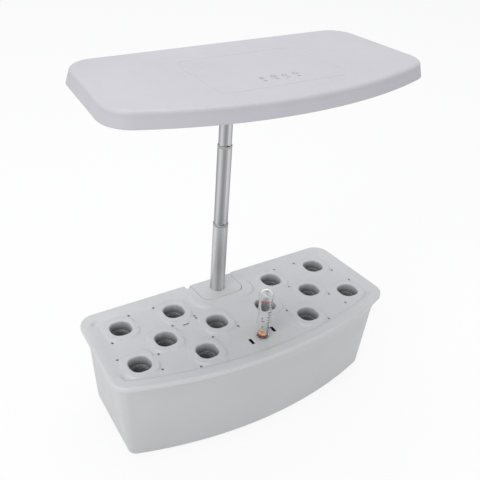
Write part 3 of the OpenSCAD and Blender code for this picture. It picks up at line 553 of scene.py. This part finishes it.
def all_pods():
    """All pods, row by row from the back, left to right."""
    pods = []
    for row in range(3):
        inner, outer = RIGHT_PODS[2 * row], RIGHT_PODS[2 * row + 1]
        pods += [(-p[0], p[1], -p[2]) for p in (outer, inner)] + [inner, outer]
    return pods


PODS = all_pods()

# Cut-out that the pole base fills, with a notch on its left and chamfers at the back
TONGUE_W = 63.0
TONGUE_FRONT = POLE_Y - 22.0
TONGUE_CORNER = 12.0
NOTCH_X = -40.0
NOTCH_Y = DECK_BACK - 8.0
CHAMFER = (3.5, 4.0)
# Raised field round the pole: width, depth and corner radius
POLE_PAD = (92.0, 51.0, 20.0)
POLE_PAD_Y = DECK_BACK - BAND_W / 2 - POLE_PAD[1] / 2
# Right side of the filling basin's fan, as [x, distance behind the gauge]
BASIN_SIDE = [(30, 28.5), (34, 26.5), (37, 20.5), (44, 3.5), (50, -7.5), (60, -15.5), (66, -31.5)]


def cut_right(y):
    """Right side of the deck's cut-out at a place along its depth."""
    run = max(0.0, y - (DECK_BACK - CHAMFER[1]))
    return TONGUE_W / 2 + CHAMFER[0] * run / CHAMFER[1]


def cutout(back_y):
    """The cut-out for the pole base, from its right end at the back round to its left end."""
    half = TONGUE_W / 2
    right = [Vector((cut_right(back_y), back_y)), Vector((half, DECK_BACK - CHAMFER[1]))]
    front = (arc((half - TONGUE_CORNER, TONGUE_FRONT + TONGUE_CORNER), TONGUE_CORNER, 0, -90, 8)
             + arc((TONGUE_CORNER - half, TONGUE_FRONT + TONGUE_CORNER), TONGUE_CORNER, -90, -180, 8))
    left = [Vector((-half, NOTCH_Y)), Vector((NOTCH_X + 1, NOTCH_Y)), Vector((NOTCH_X, back_y))]
    return right + front + left


def basin_outline():
    side = [Vector((x, GAUGE_Y + y)) for x, y in BASIN_SIDE]
    return side + [Vector((-p.x, p.y)) for p in side[::-1]]


def holes_in_deck():
    """Loops of the straight holes through the deck: the small ones, whose walls get a light painted shade,
    and the ones whose walls are painted nearly black as shade.
    """
    light = []
    for x, y, side in PODS:
        for s in (-1, 1):
            at = (x + s * side * SUPPORT_OFFSET, y - s * SUPPORT_OFFSET)
            light.append(moved(circle(SUPPORT_R, 14), *at))
    light.append(moved(rounded(*VENT_SLOT, 3), VENT_X, VENT_Y))
    dark = [moved(circle(GAUGE_R - GAUGE_WALL, 32), 0, GAUGE_Y)]
    for s in (-1, 1):
        slot_y = GAUGE_Y + s * FILL_SLOT_STAGGER
        dark.append(moved(rounded(*FILL_SLOT, FILL_SLOT_R, 2), s * FILL_SLOT_X, slot_y))
    return light, dark


def flare_in(z):
    return FLARE * (1 - (1 - (RIM_Z - z) / FLARE_H) ** 1.5)


SKIRT_GAP = 0.6
SKIRT_T = 1.6
SKIRT_INSET = RIM_SETBACK + TANK_WALL + flare_in(RIM_Z - SKIRT_L) + SKIRT_GAP
DECK_OUTLINE = outline(DECK)
DECK_INNER = outline(inset(DECK, BAND_W + STEP_W + 0.5))

# Width of the slopes round the pads and the basin, and how far inside the pads' outlines they lie
SLOPE_W = 3.0
POLE_PAD_SLOPE_IN = 0.8
PAD_SLOPE_IN = 0.9


def deck_height(xy):
    """Height of the deck's upper face."""
    band = soft(BAND_W + STEP_W / 2 - polygon_distance(xy, DECK_OUTLINE), STEP_W + 0.4)
    pole = soft(rounded_distance(xy, 0, POLE_PAD_Y, *POLE_PAD) - POLE_PAD_SLOPE_IN, SLOPE_W)
    pads = np.zeros(len(xy))
    for x, y, _ in PODS:
        pad = soft(rounded_distance(xy, x, y, PAD_W, PAD_W, PAD_R) - PAD_SLOPE_IN, SLOPE_W)
        pads = np.maximum(pads, pad)
    fan = np.minimum(polygon_distance(xy, basin_outline()), polygon_distance(xy, DECK_INNER))
    basin = soft(fan, SLOPE_W) * (1 - pads)
    raised = np.maximum(np.maximum(band, pole) * FIELD_DROP, pads * PAD_RISE)
    return FIELD_Z + raised - BASIN_DROP * basin


# Distances of the rings of free points: inside the deck's outline, and across the slopes' outlines
BAND_RINGS = (2.4, 7.0, 11.4, 11.9, 12.4, 12.9, 13.5, 14.1, 14.7, 15.3, 15.9, 16.4, 16.9, 17.4, 18.0)
PAD_RINGS = (0.6, 0.2, -0.2, -0.6, -1.0, -1.4, -1.8, -2.3, -2.8)
POLE_PAD_RINGS = (0.8, 0.4, 0.0, -0.4, -0.8, -1.2, -1.6, -2.0, -2.5)
BASIN_RINGS = (-1.7, -1.1, -0.6, 0.0, 0.6, 1.1, 1.7)
BASIN_STEP = 2.5
GRID_STEP = 7
GRID_X = (-196, 197)
GRID_Y = (-90, 80)


def deck_grid_points(blocked):
    """Free points that carry the deck's slopes: rings along each of them, and a coarse grid."""
    pts = []
    for d in BAND_RINGS:
        pts += outline(inset(DECK, d))
    for x, y, _ in PODS:
        for d in PAD_RINGS:
            pts += moved(rounded(PAD_W + 2 * d, PAD_W + 2 * d, PAD_R + d), x, y)
    for d in POLE_PAD_RINGS:
        pts += moved(rounded(POLE_PAD[0] + 2 * d, POLE_PAD[1] + 2 * d, POLE_PAD[2] + d), 0, POLE_PAD_Y)
    fan = basin_outline()
    for k, p in enumerate(fan):
        q = fan[(k + 1) % len(fan)]
        run = (q - p).length
        across = Vector((p.y - q.y, q.x - p.x)) / max(run, 1e-6)
        for i in range(int(run / BASIN_STEP) + 1):
            for d in BASIN_RINGS:
                pts.append(p.lerp(q, i * BASIN_STEP / max(run, BASIN_STEP)) + across * d)
    pts += [Vector((x, y)) for x in np.arange(*GRID_X, GRID_STEP) for y in np.arange(*GRID_Y, GRID_STEP)]
    xy = np.array([[p.x, p.y] for p in pts])
    keep = polygon_distance(xy, outline(inset(DECK, LIP_EDGE_R))) > 0.25
    for loop in blocked:
        keep &= polygon_distance(xy, loop) < -0.15
    return [p for p, k in zip(pts, keep) if k]


def deck_faces(work, holes):
    """Upper and lower faces of the deck's plate."""
    mouth = THROAT_W + 2 * MOUTH_R
    outer_w = THROAT_W + 2 * THROAT_WALL
    mouths = [moved(rounded(mouth, mouth, THROAT_R + MOUTH_R), x, y) for x, y, _ in PODS]
    throats = [moved(rounded(outer_w, outer_w, THROAT_R + THROAT_WALL), x, y) for x, y, _ in PODS]
    notch = cutout(DECK_BACK + 3)
    for edge, upper, big in ((LIP_EDGE_R, True, mouths), (SKIRT_INSET, False, throats)):
        border = outline(inset(DECK, edge))
        blocked = big + holes + [notch]

        def inside(xy, border=border, blocked=blocked):
            keep = polygon_distance(xy, border) > 0
            for loop in blocked:
                keep &= polygon_distance(xy, loop) < 0
            return keep

        if upper:
            work.sheet([border] + blocked, inside, deck_height, deck_grid_points(blocked))
        else:
            work.sheet([border] + blocked, inside, lambda xy: np.full(len(xy), CEILING_Z))


def deck_edge(work):
    """Edge band round the outside, and the wall of the cut-out."""
    lip_t = TANK_WALL + RIM_SETBACK
    profile = [(LIP_EDGE_R * (1 - math.cos(a)), DECK_Z - LIP_EDGE_R * (1 - math.sin(a)))
               for a in [math.radians(90 - 15 * i) for i in range(7)]]
    profile += [(0, RIM_Z + 0.4), (0.4, RIM_Z), (lip_t, RIM_Z), (SKIRT_INSET, CEILING_Z)]
    rows = []
    for d, z in profile:
        o = inset(DECK, d)
        rows.append(at_z(open_outline(o, cut_right(o[2]), NOTCH_X), z))
    work.rows(rows, closed=False, side_caps=True)
    top = cutout(DECK_BACK - LIP_EDGE_R)
    low = cutout(DECK_BACK - SKIRT_INSET)
    work.rows([at_z(top, DECK_Z), at_z(low, CEILING_Z)], closed=False)


def make_hole_walls(name, loops, mat):
    walls = Patchwork()
    for loop in loops:
        heights = deck_height(np.array([[p.x, p.y] for p in loop])).tolist()
        walls.rows([[(p.x, p.y, h) for p, h in zip(loop, heights)], at_z(loop, CEILING_Z)])
    place(walls.make(name), "planting_deck", mat, "deck_plastic")


def make_wells():
    """Pod wells, from their rounded mouths down to the ledge and up their outside."""
    wells = Patchwork()
    pad_z = FIELD_Z + PAD_RISE
    outer_w = THROAT_W + 2 * THROAT_WALL
    for x, y, _ in PODS:
        rings = []
        for i in range(9):
            a = math.radians(90 - 90 * i / 8)
            g = MOUTH_R * (1 - math.cos(a))
            mouth = rounded(THROAT_W + 2 * g, THROAT_W + 2 * g, THROAT_R + g)
            rings.append(at_z(moved(mouth, x, y), pad_z - MOUTH_R * (1 - math.sin(a))))
        throat = rounded(THROAT_W, THROAT_W, THROAT_R)
        rings.append(at_z(moved(throat, x, y), LEDGE_Z))
        round_hole = moved([p.normalized() * LEDGE_HOLE_R for p in throat], x, y)
        rings.append(at_z(round_hole, LEDGE_Z))
        rings.append(at_z(round_hole, LEDGE_Z - LEDGE_T))
        outer = moved(rounded(outer_w, outer_w, THROAT_R + THROAT_WALL), x, y)
        rings.append(at_z(outer, LEDGE_Z - LEDGE_T))
        rings.append(at_z(outer, CEILING_Z))
        wells.rows(rings)
    place(wells.make("pod_wells", 40), "planting_deck", M_WELL_PAINTED_SHADE, "deck_plastic", "deck")


def make_skirt():
    """Skirt below the deck, which keeps it in the tank."""
    skirt = Patchwork()
    outer, inner = SKIRT_INSET, SKIRT_INSET + SKIRT_T
    low, high = RIM_Z - SKIRT_L, CEILING_Z + 0.4
    rows = []
    for d, z in ((outer, high), (outer, low + 0.5), (outer + 0.5, low), (inner, low), (inner, high),
                 (outer, high)):
        o = inset(DECK, d)
        left = -TONGUE_W / 2 if o[2] < NOTCH_Y else NOTCH_X
        rows.append(at_z(open_outline(o, TONGUE_W / 2, left), z))
    skirt.rows(rows, closed=False, side_caps=True)
    place(skirt.make("deck_skirt"), "planting_deck", M_DECK, "deck_plastic")


def make_deck():
    light, dark = holes_in_deck()
    work = Patchwork()
    deck_faces(work, light + dark)
    deck_edge(work)
    # Hole walls in painted shade: light grey in the small holes, nearly black in the slots and the gauge's
    # hole.
    make_hole_walls("support_hole_walls", light, M_HOLE_WALL_SHADE)
    make_hole_walls("slot_walls", dark, M_SLOT_WALL_SHADE)
    make_wells()
    place(work.make("planting_deck_shell", 32), "planting_deck", M_DECK, "deck_plastic", "deck")
    make_skirt()


# ---- tank ------------------------------------------------------------------

# How much narrower the floor is than the wall's top: back width, front width, back, front, corner
FLOOR_TAPER = (15, 20, 0.7, 4.4, 2)


def tank_outline(z):
    rim = inset(DECK, RIM_SETBACK)
    join = RIM_Z - FLARE_H
    if z >= join:
        return inset(rim, flare_in(z))
    wall = inset(DECK, RIM_SETBACK + FLARE)
    back_w, front_w, back, front, corner = FLOOR_TAPER
    floor = [wall[0] - back_w, wall[1] - front_w, wall[2] - back, wall[3] + front, wall[4] - front,
             max(wall[5] - corner, 8)]
    t = (join - z) / (join - FOOT_Z)
    return [w * (1 - t) + f * t for w, f in zip(wall, floor)]


def make_tank():
    work = Patchwork()

    def ring(z, d, at=None):
        return at_z(outline(inset(tank_outline(z), d)), z if at is None else at)

    def rounding(z0, d):
        steps = [math.radians(90 * i / 7) for i in range(8)]
        return [ring(z0, d + FLOOR_EDGE_R * (1 - math.sin(a)), z0 + FLOOR_EDGE_R * (1 - math.cos(a)))
                for a in steps]

    join = RIM_Z - FLARE_H
    flare_zs = [join + FLARE_H * i / 16 for i in range(16)]
    floor_z = FOOT_Z + TANK_WALL
    rows = [ring(FOOT_Z, FLOOR_EDGE_R + 1.5)] + rounding(FOOT_Z, 0)
    rows += [ring(FOOT_Z + (join - FOOT_Z) * k, 0) for k in (0.25, 0.5, 0.75, 0.95)]
    rows += [ring(z, 0) for z in flare_zs] + [ring(RIM_Z - 0.4, 0), ring(RIM_Z, 0.4)]
    rows += [ring(RIM_Z, TANK_WALL - 0.4), ring(RIM_Z - 0.4, TANK_WALL)]
    rows += [ring(z, TANK_WALL) for z in flare_zs[::-1]]
    rows += [ring(FOOT_Z + (join - FOOT_Z) * k, TANK_WALL) for k in (0.95, 0.75, 0.5, 0.25)]
    rows += rounding(floor_z, TANK_WALL)[::-1] + [ring(floor_z, TANK_WALL + FLOOR_EDGE_R + 1.5)]
    work.rows(rows, start_cap=True, end_cap=True)
    place(work.make("tank_shell", 40), "base", M_TANK, "tank_plastic", "tank")


# ---- hood ------------------------------------------------------------------

def make_hood():
    work = Patchwork()

    def ring(z, d):
        return at_z(outline(inset(HOOD, d)), z)

    ceiling = HOOD_TOP - HOOD_WALL
    top_inset = HOOD_LEAN + HOOD_EDGE_R
    rows = [ring(ceiling, HOOD_LEAN + HOOD_WALL + 2), ring(ceiling - 2, HOOD_LEAN + HOOD_WALL),
            ring(HOOD_Z + 0.5, HOOD_WALL), ring(HOOD_Z, HOOD_WALL - 0.4), ring(HOOD_Z, 0.5),
            ring(HOOD_Z + 0.5, 0.0)]
    for i in range(3):
        t = (i + 1) / 3
        rows.append(ring(HOOD_Z + 0.5 + (HOOD_TOP - HOOD_EDGE_R - HOOD_Z - 0.5) * t, HOOD_LEAN * t))
    for i in range(1, 11):
        a = math.radians(9 * i)
        z = HOOD_TOP - HOOD_EDGE_R * (1 - math.sin(a))
        rows.append(ring(z, HOOD_LEAN + HOOD_EDGE_R * (1 - math.cos(a))))
    rows.append(ring(HOOD_TOP, top_inset + 1.0))
    work.rows(rows, start_cap=True)

    # Top face, with the fine line pressed into it
    w, d, r = TOUCH_LINE
    slope = TOUCH_LINE_DEPTH
    insets = (0, slope, TOUCH_LINE_W - slope, TOUCH_LINE_W)
    loops = [moved(rounded(w - 2 * k, d - 2 * k, r - k, 12), 0, TOUCH_Y) for k in insets]
    edge = outline(inset(HOOD, top_inset + 1.0))

    def flat(z):
        return lambda xy: np.full(len(xy), z)

    work.sheet([edge, loops[0]], lambda xy: (polygon_distance(xy, edge) > 0)
               & (polygon_distance(xy, loops[0]) < 0), flat(HOOD_TOP))
    bottom = HOOD_TOP - TOUCH_LINE_DEPTH
    work.rows([at_z(loop, z) for loop, z in zip(loops, (HOOD_TOP, bottom, bottom, HOOD_TOP))])
    work.sheet([loops[3]], lambda xy: polygon_distance(xy, loops[3]) > 0, flat(HOOD_TOP))
    place(work.make("hood_shell", 32), "lamp", M_HOOD, "hood_plastic", "hood_cover")


def ribbon(work, points, width, z, closed=False, lift=0.04):
    """A flat printed stroke along points."""
    n = len(points)
    left, right = [], []
    for i, p in enumerate(points):
        a = points[(i - 1) % n] if closed or i else points[0]
        b = points[(i + 1) % n] if closed or i < n - 1 else points[-1]
        t = (b - a).normalized()
        across = Vector((-t.y, t.x)) * width / 2
        left.append(p + across)
        right.append(p - across)
    if closed:
        left.append(left[0])
        right.append(right[0])
    work.rows([at_z(left, z + lift), at_z(right, z + lift)], closed=False)


def make_touch_icons():
    """Four generic key marks: a sun, a clock, a drop and a power sign, with a dash below each."""
    work = Patchwork()
    y = ICON_Y

    def stroke(points, x, closed=False):
        ribbon(work, moved(points, x, y), ICON_STROKE, HOOD_TOP, closed)

    for x in ICON_XS:
        dash = [Vector((-2.2, 0)), Vector((2.2, 0))]
        ribbon(work, moved(dash, x, y - DASH_DROP), DASH_STROKE, HOOD_TOP)
    sun, clock, drop, power = ICON_XS
    stroke(circle(1.5, 20), sun, True)
    for k in range(8):
        a = math.radians(45 * k)
        stroke([Vector((math.cos(a), math.sin(a))) * 2.2, Vector((math.cos(a), math.sin(a))) * 3.3], sun)
    stroke(circle(3.1, 28), clock, True)
    stroke([Vector((0, 2.0)), Vector((0, 0)), Vector((1.4, -0.8))], clock)
    stroke([Vector((0, 3.3))] + arc((0, -0.8), 2.2, 150, 390, 20), drop, True)
    stroke(arc((0, 0), 2.9, 125, 415, 26), power)
    stroke([Vector((0, 3.4)), Vector((0, 0.6))], power)
    place(work.make("touch_icons"), "lamp", M_INK, "dark_plastic")


# ---- pole ------------------------------------------------------------------

def tube_outline(r, n=96):
    """Round tube with the key groove down its front."""
    groove_r = KEY_R + POLE_R - r
    x = (KEY_CENTRE ** 2 + r * r - groove_r ** 2) / (2 * KEY_CENTRE)
    half = math.degrees(math.acos(x / r))
    inner = math.degrees(math.atan2(r * math.sin(math.radians(half)), KEY_CENTRE - x))
    pts = arc((0, 0), r, -90 + half, 270 - half, n)
    return pts + arc((0, -KEY_CENTRE), groove_r, 90 + inner, 90 - inner, 12)[1:-1]


def make_pole():
    stages = (("lower_tube", "lower_collar", POLE_R, "base", M_LOWER_TUBE_PAINTED_LIGHTER),
              ("middle_tube", "middle_collar", POLE_R - TUBE_STEP, "middle_stage", M_TUBE),
              ("upper_tube", None, POLE_R - 2 * TUBE_STEP, "lamp", M_TUBE))
    for tube, collar, r, body, mat in stages:
        work = Patchwork()
        low, high = bottom_of(tube), top_of(tube)
        pts = moved(tube_outline(r), 0, POLE_Y)
        work.rows([at_z(pts, low), at_z(pts, high)], start_cap=True, end_cap=True)
        place(work.make(tube + "_metal", 40), body, mat, "tube_metal", tube)
        if collar:
            low, high = bottom_of(collar), top_of(collar)
            bore = r - COLLAR_BORE_GAP
            outer = r + COLLAR_PROUD
            profile = [(bore, low), (r + 0.1, low), (outer, low + 0.3), (outer, high - 1.2)]
            for a in (math.radians(20 * i) for i in range(1, 5)):
                profile.append((outer - COLLAR_EDGE_R * (1 - math.cos(a)),
                                high - COLLAR_EDGE_R * (1 - math.sin(a))))
            profile += [(bore + 0.15, high), (bore, high - 0.15), (bore, low)]
            work = Patchwork()
            work.rows([[(x, y + POLE_Y, z) for x, y, z in row] for row in revolve(profile, 72)])
            place(work.make(collar + "_ring", 40), body, M_COLLAR, "collar_metal", collar)


# ---- water gauge -----------------------------------------------------------

# Bearings are in degrees from the right, and negative ones run round by the front.
FULL_MARK = (-172, -75)
TICK_H = 1.1
# Each column is [bearing, ticks, half a tick's width in degrees, lowest above the deck, height].
TICK_COLUMNS = ((-84, 12, 17, 6, 43.0), (-136, 3, 13, 8, 16.0))
SHORT_TICK = 0.6


def on_gauge(rows):
    """Rows of a turned shape, moved to the gauge's axis."""
    return [[(x, y + GAUGE_Y, z) for x, y, z in row] for row in rows]


def make_gauge():
    flange_r = (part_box("gauge_tube")[1].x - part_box("gauge_tube")[0].x) / 2 / MM
    low = bottom_of("gauge_tube")
    dome_z = GAUGE_TOP - GAUGE_R
    inner_r = GAUGE_R - GAUGE_WALL
    profile = [(inner_r, low), (flange_r, low), (flange_r, low + 1.1), (flange_r - 0.3, low + 1.4),
               (GAUGE_R + 0.6, low + 1.4), (GAUGE_R, low + 2.2), (GAUGE_R, dome_z)]
    steps = [math.radians(10 * i) for i in range(1, 9)]
    profile += [(GAUGE_R * math.cos(a), dome_z + GAUGE_R * math.sin(a)) for a in steps]
    inside = [(inner_r * math.cos(a), dome_z + inner_r * math.sin(a)) for a in steps[::-1]]
    work = Patchwork()
    work.rows(on_gauge(revolve(profile + [(0.4, GAUGE_TOP)], 64)), end_cap=True)
    profile = [(0.4, GAUGE_TOP - GAUGE_WALL)] + inside + [(inner_r, dome_z), (inner_r, low)]
    work.rows(on_gauge(revolve(profile, 64)), start_cap=True)
    place(work.make("gauge_dome", 30), "planting_deck", M_CLEAR, "clear_plastic", "gauge_tube")

    # Full mark: a hairline all round, and the bold stroke on the side that faces the user
    ring = Patchwork()
    low, high = bottom_of("gauge_max_ring"), top_of("gauge_max_ring")
    r = GAUGE_R + 0.05
    profile = [(r, low), (r + 0.1, low + 0.05), (r + 0.1, low + 0.3), (r, low + 0.35), (r, low)]
    ring.rows(on_gauge(revolve(profile, 64)))
    stroke = moved(arc((0, 0), r + 0.25, *FULL_MARK, 24), 0, GAUGE_Y)
    back = moved(arc((0, 0), r, *FULL_MARK, 24), 0, GAUGE_Y)
    ring.rows([at_z(back, low), at_z(stroke, low), at_z(stroke, high), at_z(back, high), at_z(back, low)],
              closed=False)
    place(ring.make("gauge_full_mark", 40), "planting_deck", M_RED, "ring_red", "gauge_max_ring")

    # Plain level ticks round two sides of the tube
    ticks = Patchwork()
    r = GAUGE_R + 0.06
    for side, count, spread, low_z, run in TICK_COLUMNS:
        for k in range(count):
            z = DECK_Z + low_z + run * k / (count - 1)
            wide = spread * (1.0 if k % 2 == 0 else SHORT_TICK)
            angles = [math.radians(side - wide + 2 * wide * i / 6) for i in range(7)]
            low = [(r * math.cos(a), GAUGE_Y + r * math.sin(a), z) for a in angles]
            high = [(x, y, z + TICK_H) for x, y, z in low]
            ticks.rows([low, high], closed=False)
    place(ticks.make("gauge_ticks"), "planting_deck", M_DARK_INK, "dark_plastic")


DISC_R = 6.0
DISC_T = 2.0


def make_float():
    """Float and stem with the disc, a red edge round the disc and a white ring on it."""
    high = top_of("gauge_float")
    low = bottom_of("gauge_float")
    disc_z = high - DISC_T
    profile = [(0.01, low), (5.5, low), (6.5, low + 1), (6.5, low + 21), (5.5, low + 22), (1.5, low + 22.4),
               (1.5, disc_z - 4), (4.0, disc_z), (DISC_R - 0.1, disc_z), (DISC_R, disc_z + 0.3),
               (DISC_R, high - 0.6), (DISC_R - 0.4, high - 0.1), (DISC_R - 0.8, high), (0.01, high)]
    work = Patchwork()
    work.rows(on_gauge(revolve(profile, 48)), start_cap=True, end_cap=True)
    place(work.make("float_body", 35), "float", M_ORANGE, "float_orange", "gauge_float")
    edge = Patchwork()
    profile = [(DISC_R + 0.02, disc_z + 0.1), (DISC_R + 0.12, disc_z + 0.3), (DISC_R + 0.12, high - 0.6),
               (DISC_R - 0.25, high + 0.02), (DISC_R - 0.8, high + 0.03)]
    edge.rows(on_gauge(revolve(profile, 48)))
    place(edge.make("float_edge", 60), "float", M_RED, "ring_red")
    band = Patchwork()
    profile = [(3.9, high + 0.01), (3.95, high + 0.05), (5.1, high + 0.05), (5.15, high + 0.01)]
    band.rows(on_gauge(revolve(profile, 48)))
    place(band.make("float_band", 60), "float", M_WHITE, "float_orange")


# ---- baskets ---------------------------------------------------------------

BASKET_SLOTS = 10
BASKET_L = 46.0
FLANGE_T = 2.0
FLANGE_GAP = 0.8
# Radii of the wall's outside and inside, at the flange and at the floor
WALL_OUTER = (11.0, 9.0)
WALL_INNER = (9.7, 7.7)
SLOT_HALF = 7.0
BAR_REACH = 6.8
BAR_HALF = 0.8


def wall_radius(z, radii):
    return radii[0] + (radii[1] - radii[0]) * (LEDGE_Z - z) / BASKET_L


def make_basket(index, x, y):
    """Net basket: square flange, tapered slotted wall and a barred floor."""
    work = Patchwork()
    w = THROAT_W - FLANGE_GAP
    square = rounded(w, w, THROAT_R - FLANGE_GAP / 2)
    top = LEDGE_Z + FLANGE_T
    floor = LEDGE_Z - BASKET_L

    def ring(radius, z):
        return [(x + p.x * radius, y + p.y * radius, z) for p in [q.normalized() for q in square]]

    # Flange, which lies on the ledge
    work.rows([ring(WALL_OUTER[0], LEDGE_Z), at_z(moved(square, x, y), LEDGE_Z),
               at_z(moved(square, x, y), top - 0.4), at_z(moved([p * 0.975 for p in square], x, y), top),
               ring(WALL_INNER[0] + 1.8, top), ring(WALL_INNER[0] + 1.0, top - 0.5),
               ring(WALL_INNER[0], LEDGE_Z - 1.5)])

    # Bands above and below the slots, then the ribs between these
    z_top, z_low = LEDGE_Z - 10.0, floor + 4.0
    for z0, z1, edge in ((LEDGE_Z, z_top, z_top), (z_low, floor + 0.8, z_low)):
        for radii in (WALL_OUTER, WALL_INNER):
            work.rows([ring(wall_radius(z0, radii), z0), ring(wall_radius(z1, radii), z1)])
        work.rows([ring(wall_radius(edge, WALL_OUTER), edge), ring(wall_radius(edge, WALL_INNER), edge)])
    for k in range(BASKET_SLOTS):
        mid = 360.0 * k / BASKET_SLOTS
        half = 180.0 / BASKET_SLOTS - SLOT_HALF
        rows = []
        for z in (z_top + 0.2, z_low - 0.2):
            outer = arc((0, 0), wall_radius(z, WALL_OUTER), mid - half, mid + half, 3)
            inner = arc((0, 0), wall_radius(z, WALL_INNER), mid + half, mid - half, 3)
            rows.append(at_z(moved(outer + inner, x, y), z))
        work.rows(rows, start_cap=True, end_cap=True)

    # Floor's rim, and the bars across it
    work.rows([ring(WALL_OUTER[1], floor + 0.8), ring(WALL_OUTER[1] - 0.7, floor), ring(6.6, floor),
               ring(6.6, floor + 1.6), ring(WALL_INNER[1] + 0.1, floor + 1.6)])
    for k in (-4, 0, 4):
        for a, b in ((Vector((-BAR_REACH, k)), Vector((BAR_REACH, k))),
                     (Vector((k, -BAR_REACH)), Vector((k, BAR_REACH)))):
            side = Vector((b.y - a.y, a.x - b.x)).normalized() * BAR_HALF
            loop = moved([a + side, b + side, b - side, a - side], x, y)
            work.rows([at_z(loop, floor), at_z(loop, floor + 1.4)], start_cap=True, end_cap=True)
    name = f"basket_{index}"
    place(work.make(f"net_{name}", 35), f"pod_{index}", M_BASKET, "basket_plastic", name)


# ---- stage -----------------------------------------------------------------

FLOOR_HALF = 9.0
FLOOR_SHADOW = 0.14


def make_stage():
    """Pale floor, which camera rays see nearly white but for part of its shadow."""
    mesh = bpy.data.meshes.new("floor")
    s = FLOOR_HALF
    mesh.from_pydata([(-s, -s, 0), (s, -s, 0), (s, s, 0), (-s, s, 0)], [], [(0, 1, 2, 3)])
    floor = bpy.data.objects.new("floor", mesh)
    bpy.context.scene.collection.objects.link(floor)
    mat = bpy.data.materials.new("floor_white")
    mat.use_nodes = True
    nodes, links = mat.node_tree.nodes, mat.node_tree.links
    nodes.clear()
    out = nodes.new("ShaderNodeOutputMaterial")
    diffuse = nodes.new("ShaderNodeBsdfDiffuse")
    diffuse.inputs["Color"].default_value = (0.86, 0.86, 0.86, 1)
    glow = nodes.new("ShaderNodeEmission")
    glow.inputs["Color"].default_value = (1, 1, 1, 1)
    shown = nodes.new("ShaderNodeMixShader")
    shown.inputs["Fac"].default_value = FLOOR_SHADOW
    links.new(glow.outputs[0], shown.inputs[1])
    links.new(diffuse.outputs[0], shown.inputs[2])
    path = nodes.new("ShaderNodeLightPath")
    seen = add_rays(nodes, links, path)
    final = nodes.new("ShaderNodeMixShader")
    links.new(seen, final.inputs["Fac"])
    links.new(diffuse.outputs[0], final.inputs[1])
    links.new(shown.outputs[0], final.inputs[2])
    links.new(final.outputs[0], out.inputs["Surface"])
    mesh.materials.append(mat)


def add_rays(nodes, links, path):
    """Camera, glossy and transmission rays, which see the white background."""
    value = path.outputs["Is Camera Ray"]
    for name in ("Is Glossy Ray", "Is Transmission Ray"):
        node = nodes.new("ShaderNodeMath")
        node.operation = "MAXIMUM"
        links.new(value, node.inputs[0])
        links.new(path.outputs[name], node.inputs[1])
        value = node.outputs[0]
    return value


WORLD_LEVEL = 0.62


def make_world():
    """White to the camera and in reflections, and a plain level of light."""
    world = bpy.data.worlds.new("studio")
    bpy.context.scene.world = world
    world.use_nodes = True
    nodes, links = world.node_tree.nodes, world.node_tree.links
    nodes.clear()
    out = nodes.new("ShaderNodeOutputWorld")
    white = nodes.new("ShaderNodeBackground")
    white.inputs["Strength"].default_value = 1.0
    white.inputs["Color"].default_value = (1, 1, 1, 1)
    light = nodes.new("ShaderNodeBackground")
    light.inputs["Color"].default_value = (0.97, 0.98, 1.0, 1)
    light.inputs["Strength"].default_value = WORLD_LEVEL
    mix = nodes.new("ShaderNodeMixShader")
    path = nodes.new("ShaderNodeLightPath")
    links.new(add_rays(nodes, links, path), mix.inputs["Fac"])
    links.new(light.outputs[0], mix.inputs[1])
    links.new(white.outputs[0], mix.inputs[2])
    links.new(mix.outputs[0], out.inputs["Surface"])


def area_light(name, spot, target, size, power):
    data = bpy.data.lights.new(name, "AREA")
    data.shape = "RECTANGLE"
    data.size, data.size_y = size
    data.energy = power
    obj = bpy.data.objects.new(name, data)
    obj.location = spot
    obj.rotation_euler = (Vector(target) - Vector(spot)).to_track_quat("-Z", "Y").to_euler()
    bpy.context.scene.collection.objects.link(obj)


def make_lights():
    """Soft light from the left and above, and a weak one from the right."""
    middle = (0, 0, 0.22)
    area_light("left_softbox", (-1.75, -0.8, 1.6), middle, (1.4, 1.4), 21)
    area_light("right_softbox", (1.5, -1.7, 0.7), middle, (1.2, 1.2), 4)
    area_light("top_softbox", (0.1, 0.4, 2.4), middle, (1.8, 1.4), 20)


# Solved from the outlines of the deck, the tank and the hood in the photograph
CAMERA_PLACE = (-0.41433, -0.58920, 0.68341)
CAMERA_TURN = (-34.571, -31.991, 4.182)
CAMERA_LENS = 52.23


def make_camera():
    """Camera at the photograph's viewing angle."""
    position = Vector(CAMERA_PLACE)
    yaw, pitch, roll = (math.radians(a) for a in CAMERA_TURN)
    ahead = Vector((math.sin(-yaw) * math.cos(pitch), math.cos(-yaw) * math.cos(pitch), math.sin(pitch)))
    level = ahead.cross(Vector((0, 0, 1))).normalized()
    above = level.cross(ahead)
    right = level * math.cos(roll) + above * math.sin(roll)
    up = -level * math.sin(roll) + above * math.cos(roll)
    data = bpy.data.cameras.new("camera")
    data.sensor_width = 36
    data.lens = CAMERA_LENS
    data.clip_start = 0.01
    data.clip_end = 60
    camera = bpy.data.objects.new("camera", data)
    turn = Matrix((right, up, -ahead)).transposed().to_4x4()
    camera.matrix_world = Matrix.Translation(position) @ turn
    bpy.context.scene.collection.objects.link(camera)
    bpy.context.scene.camera = camera


make_camera()
make_world()
make_lights()
make_stage()
dress_nodes()
make_tank()
make_deck()
make_hood()
make_touch_icons()
make_pole()
make_gauge()
make_float()
for number, (pod_x, pod_y, _) in enumerate(PODS, 1):
    make_basket(number, pod_x, pod_y)

bpy.context.scene.view_settings.view_transform = "Standard"
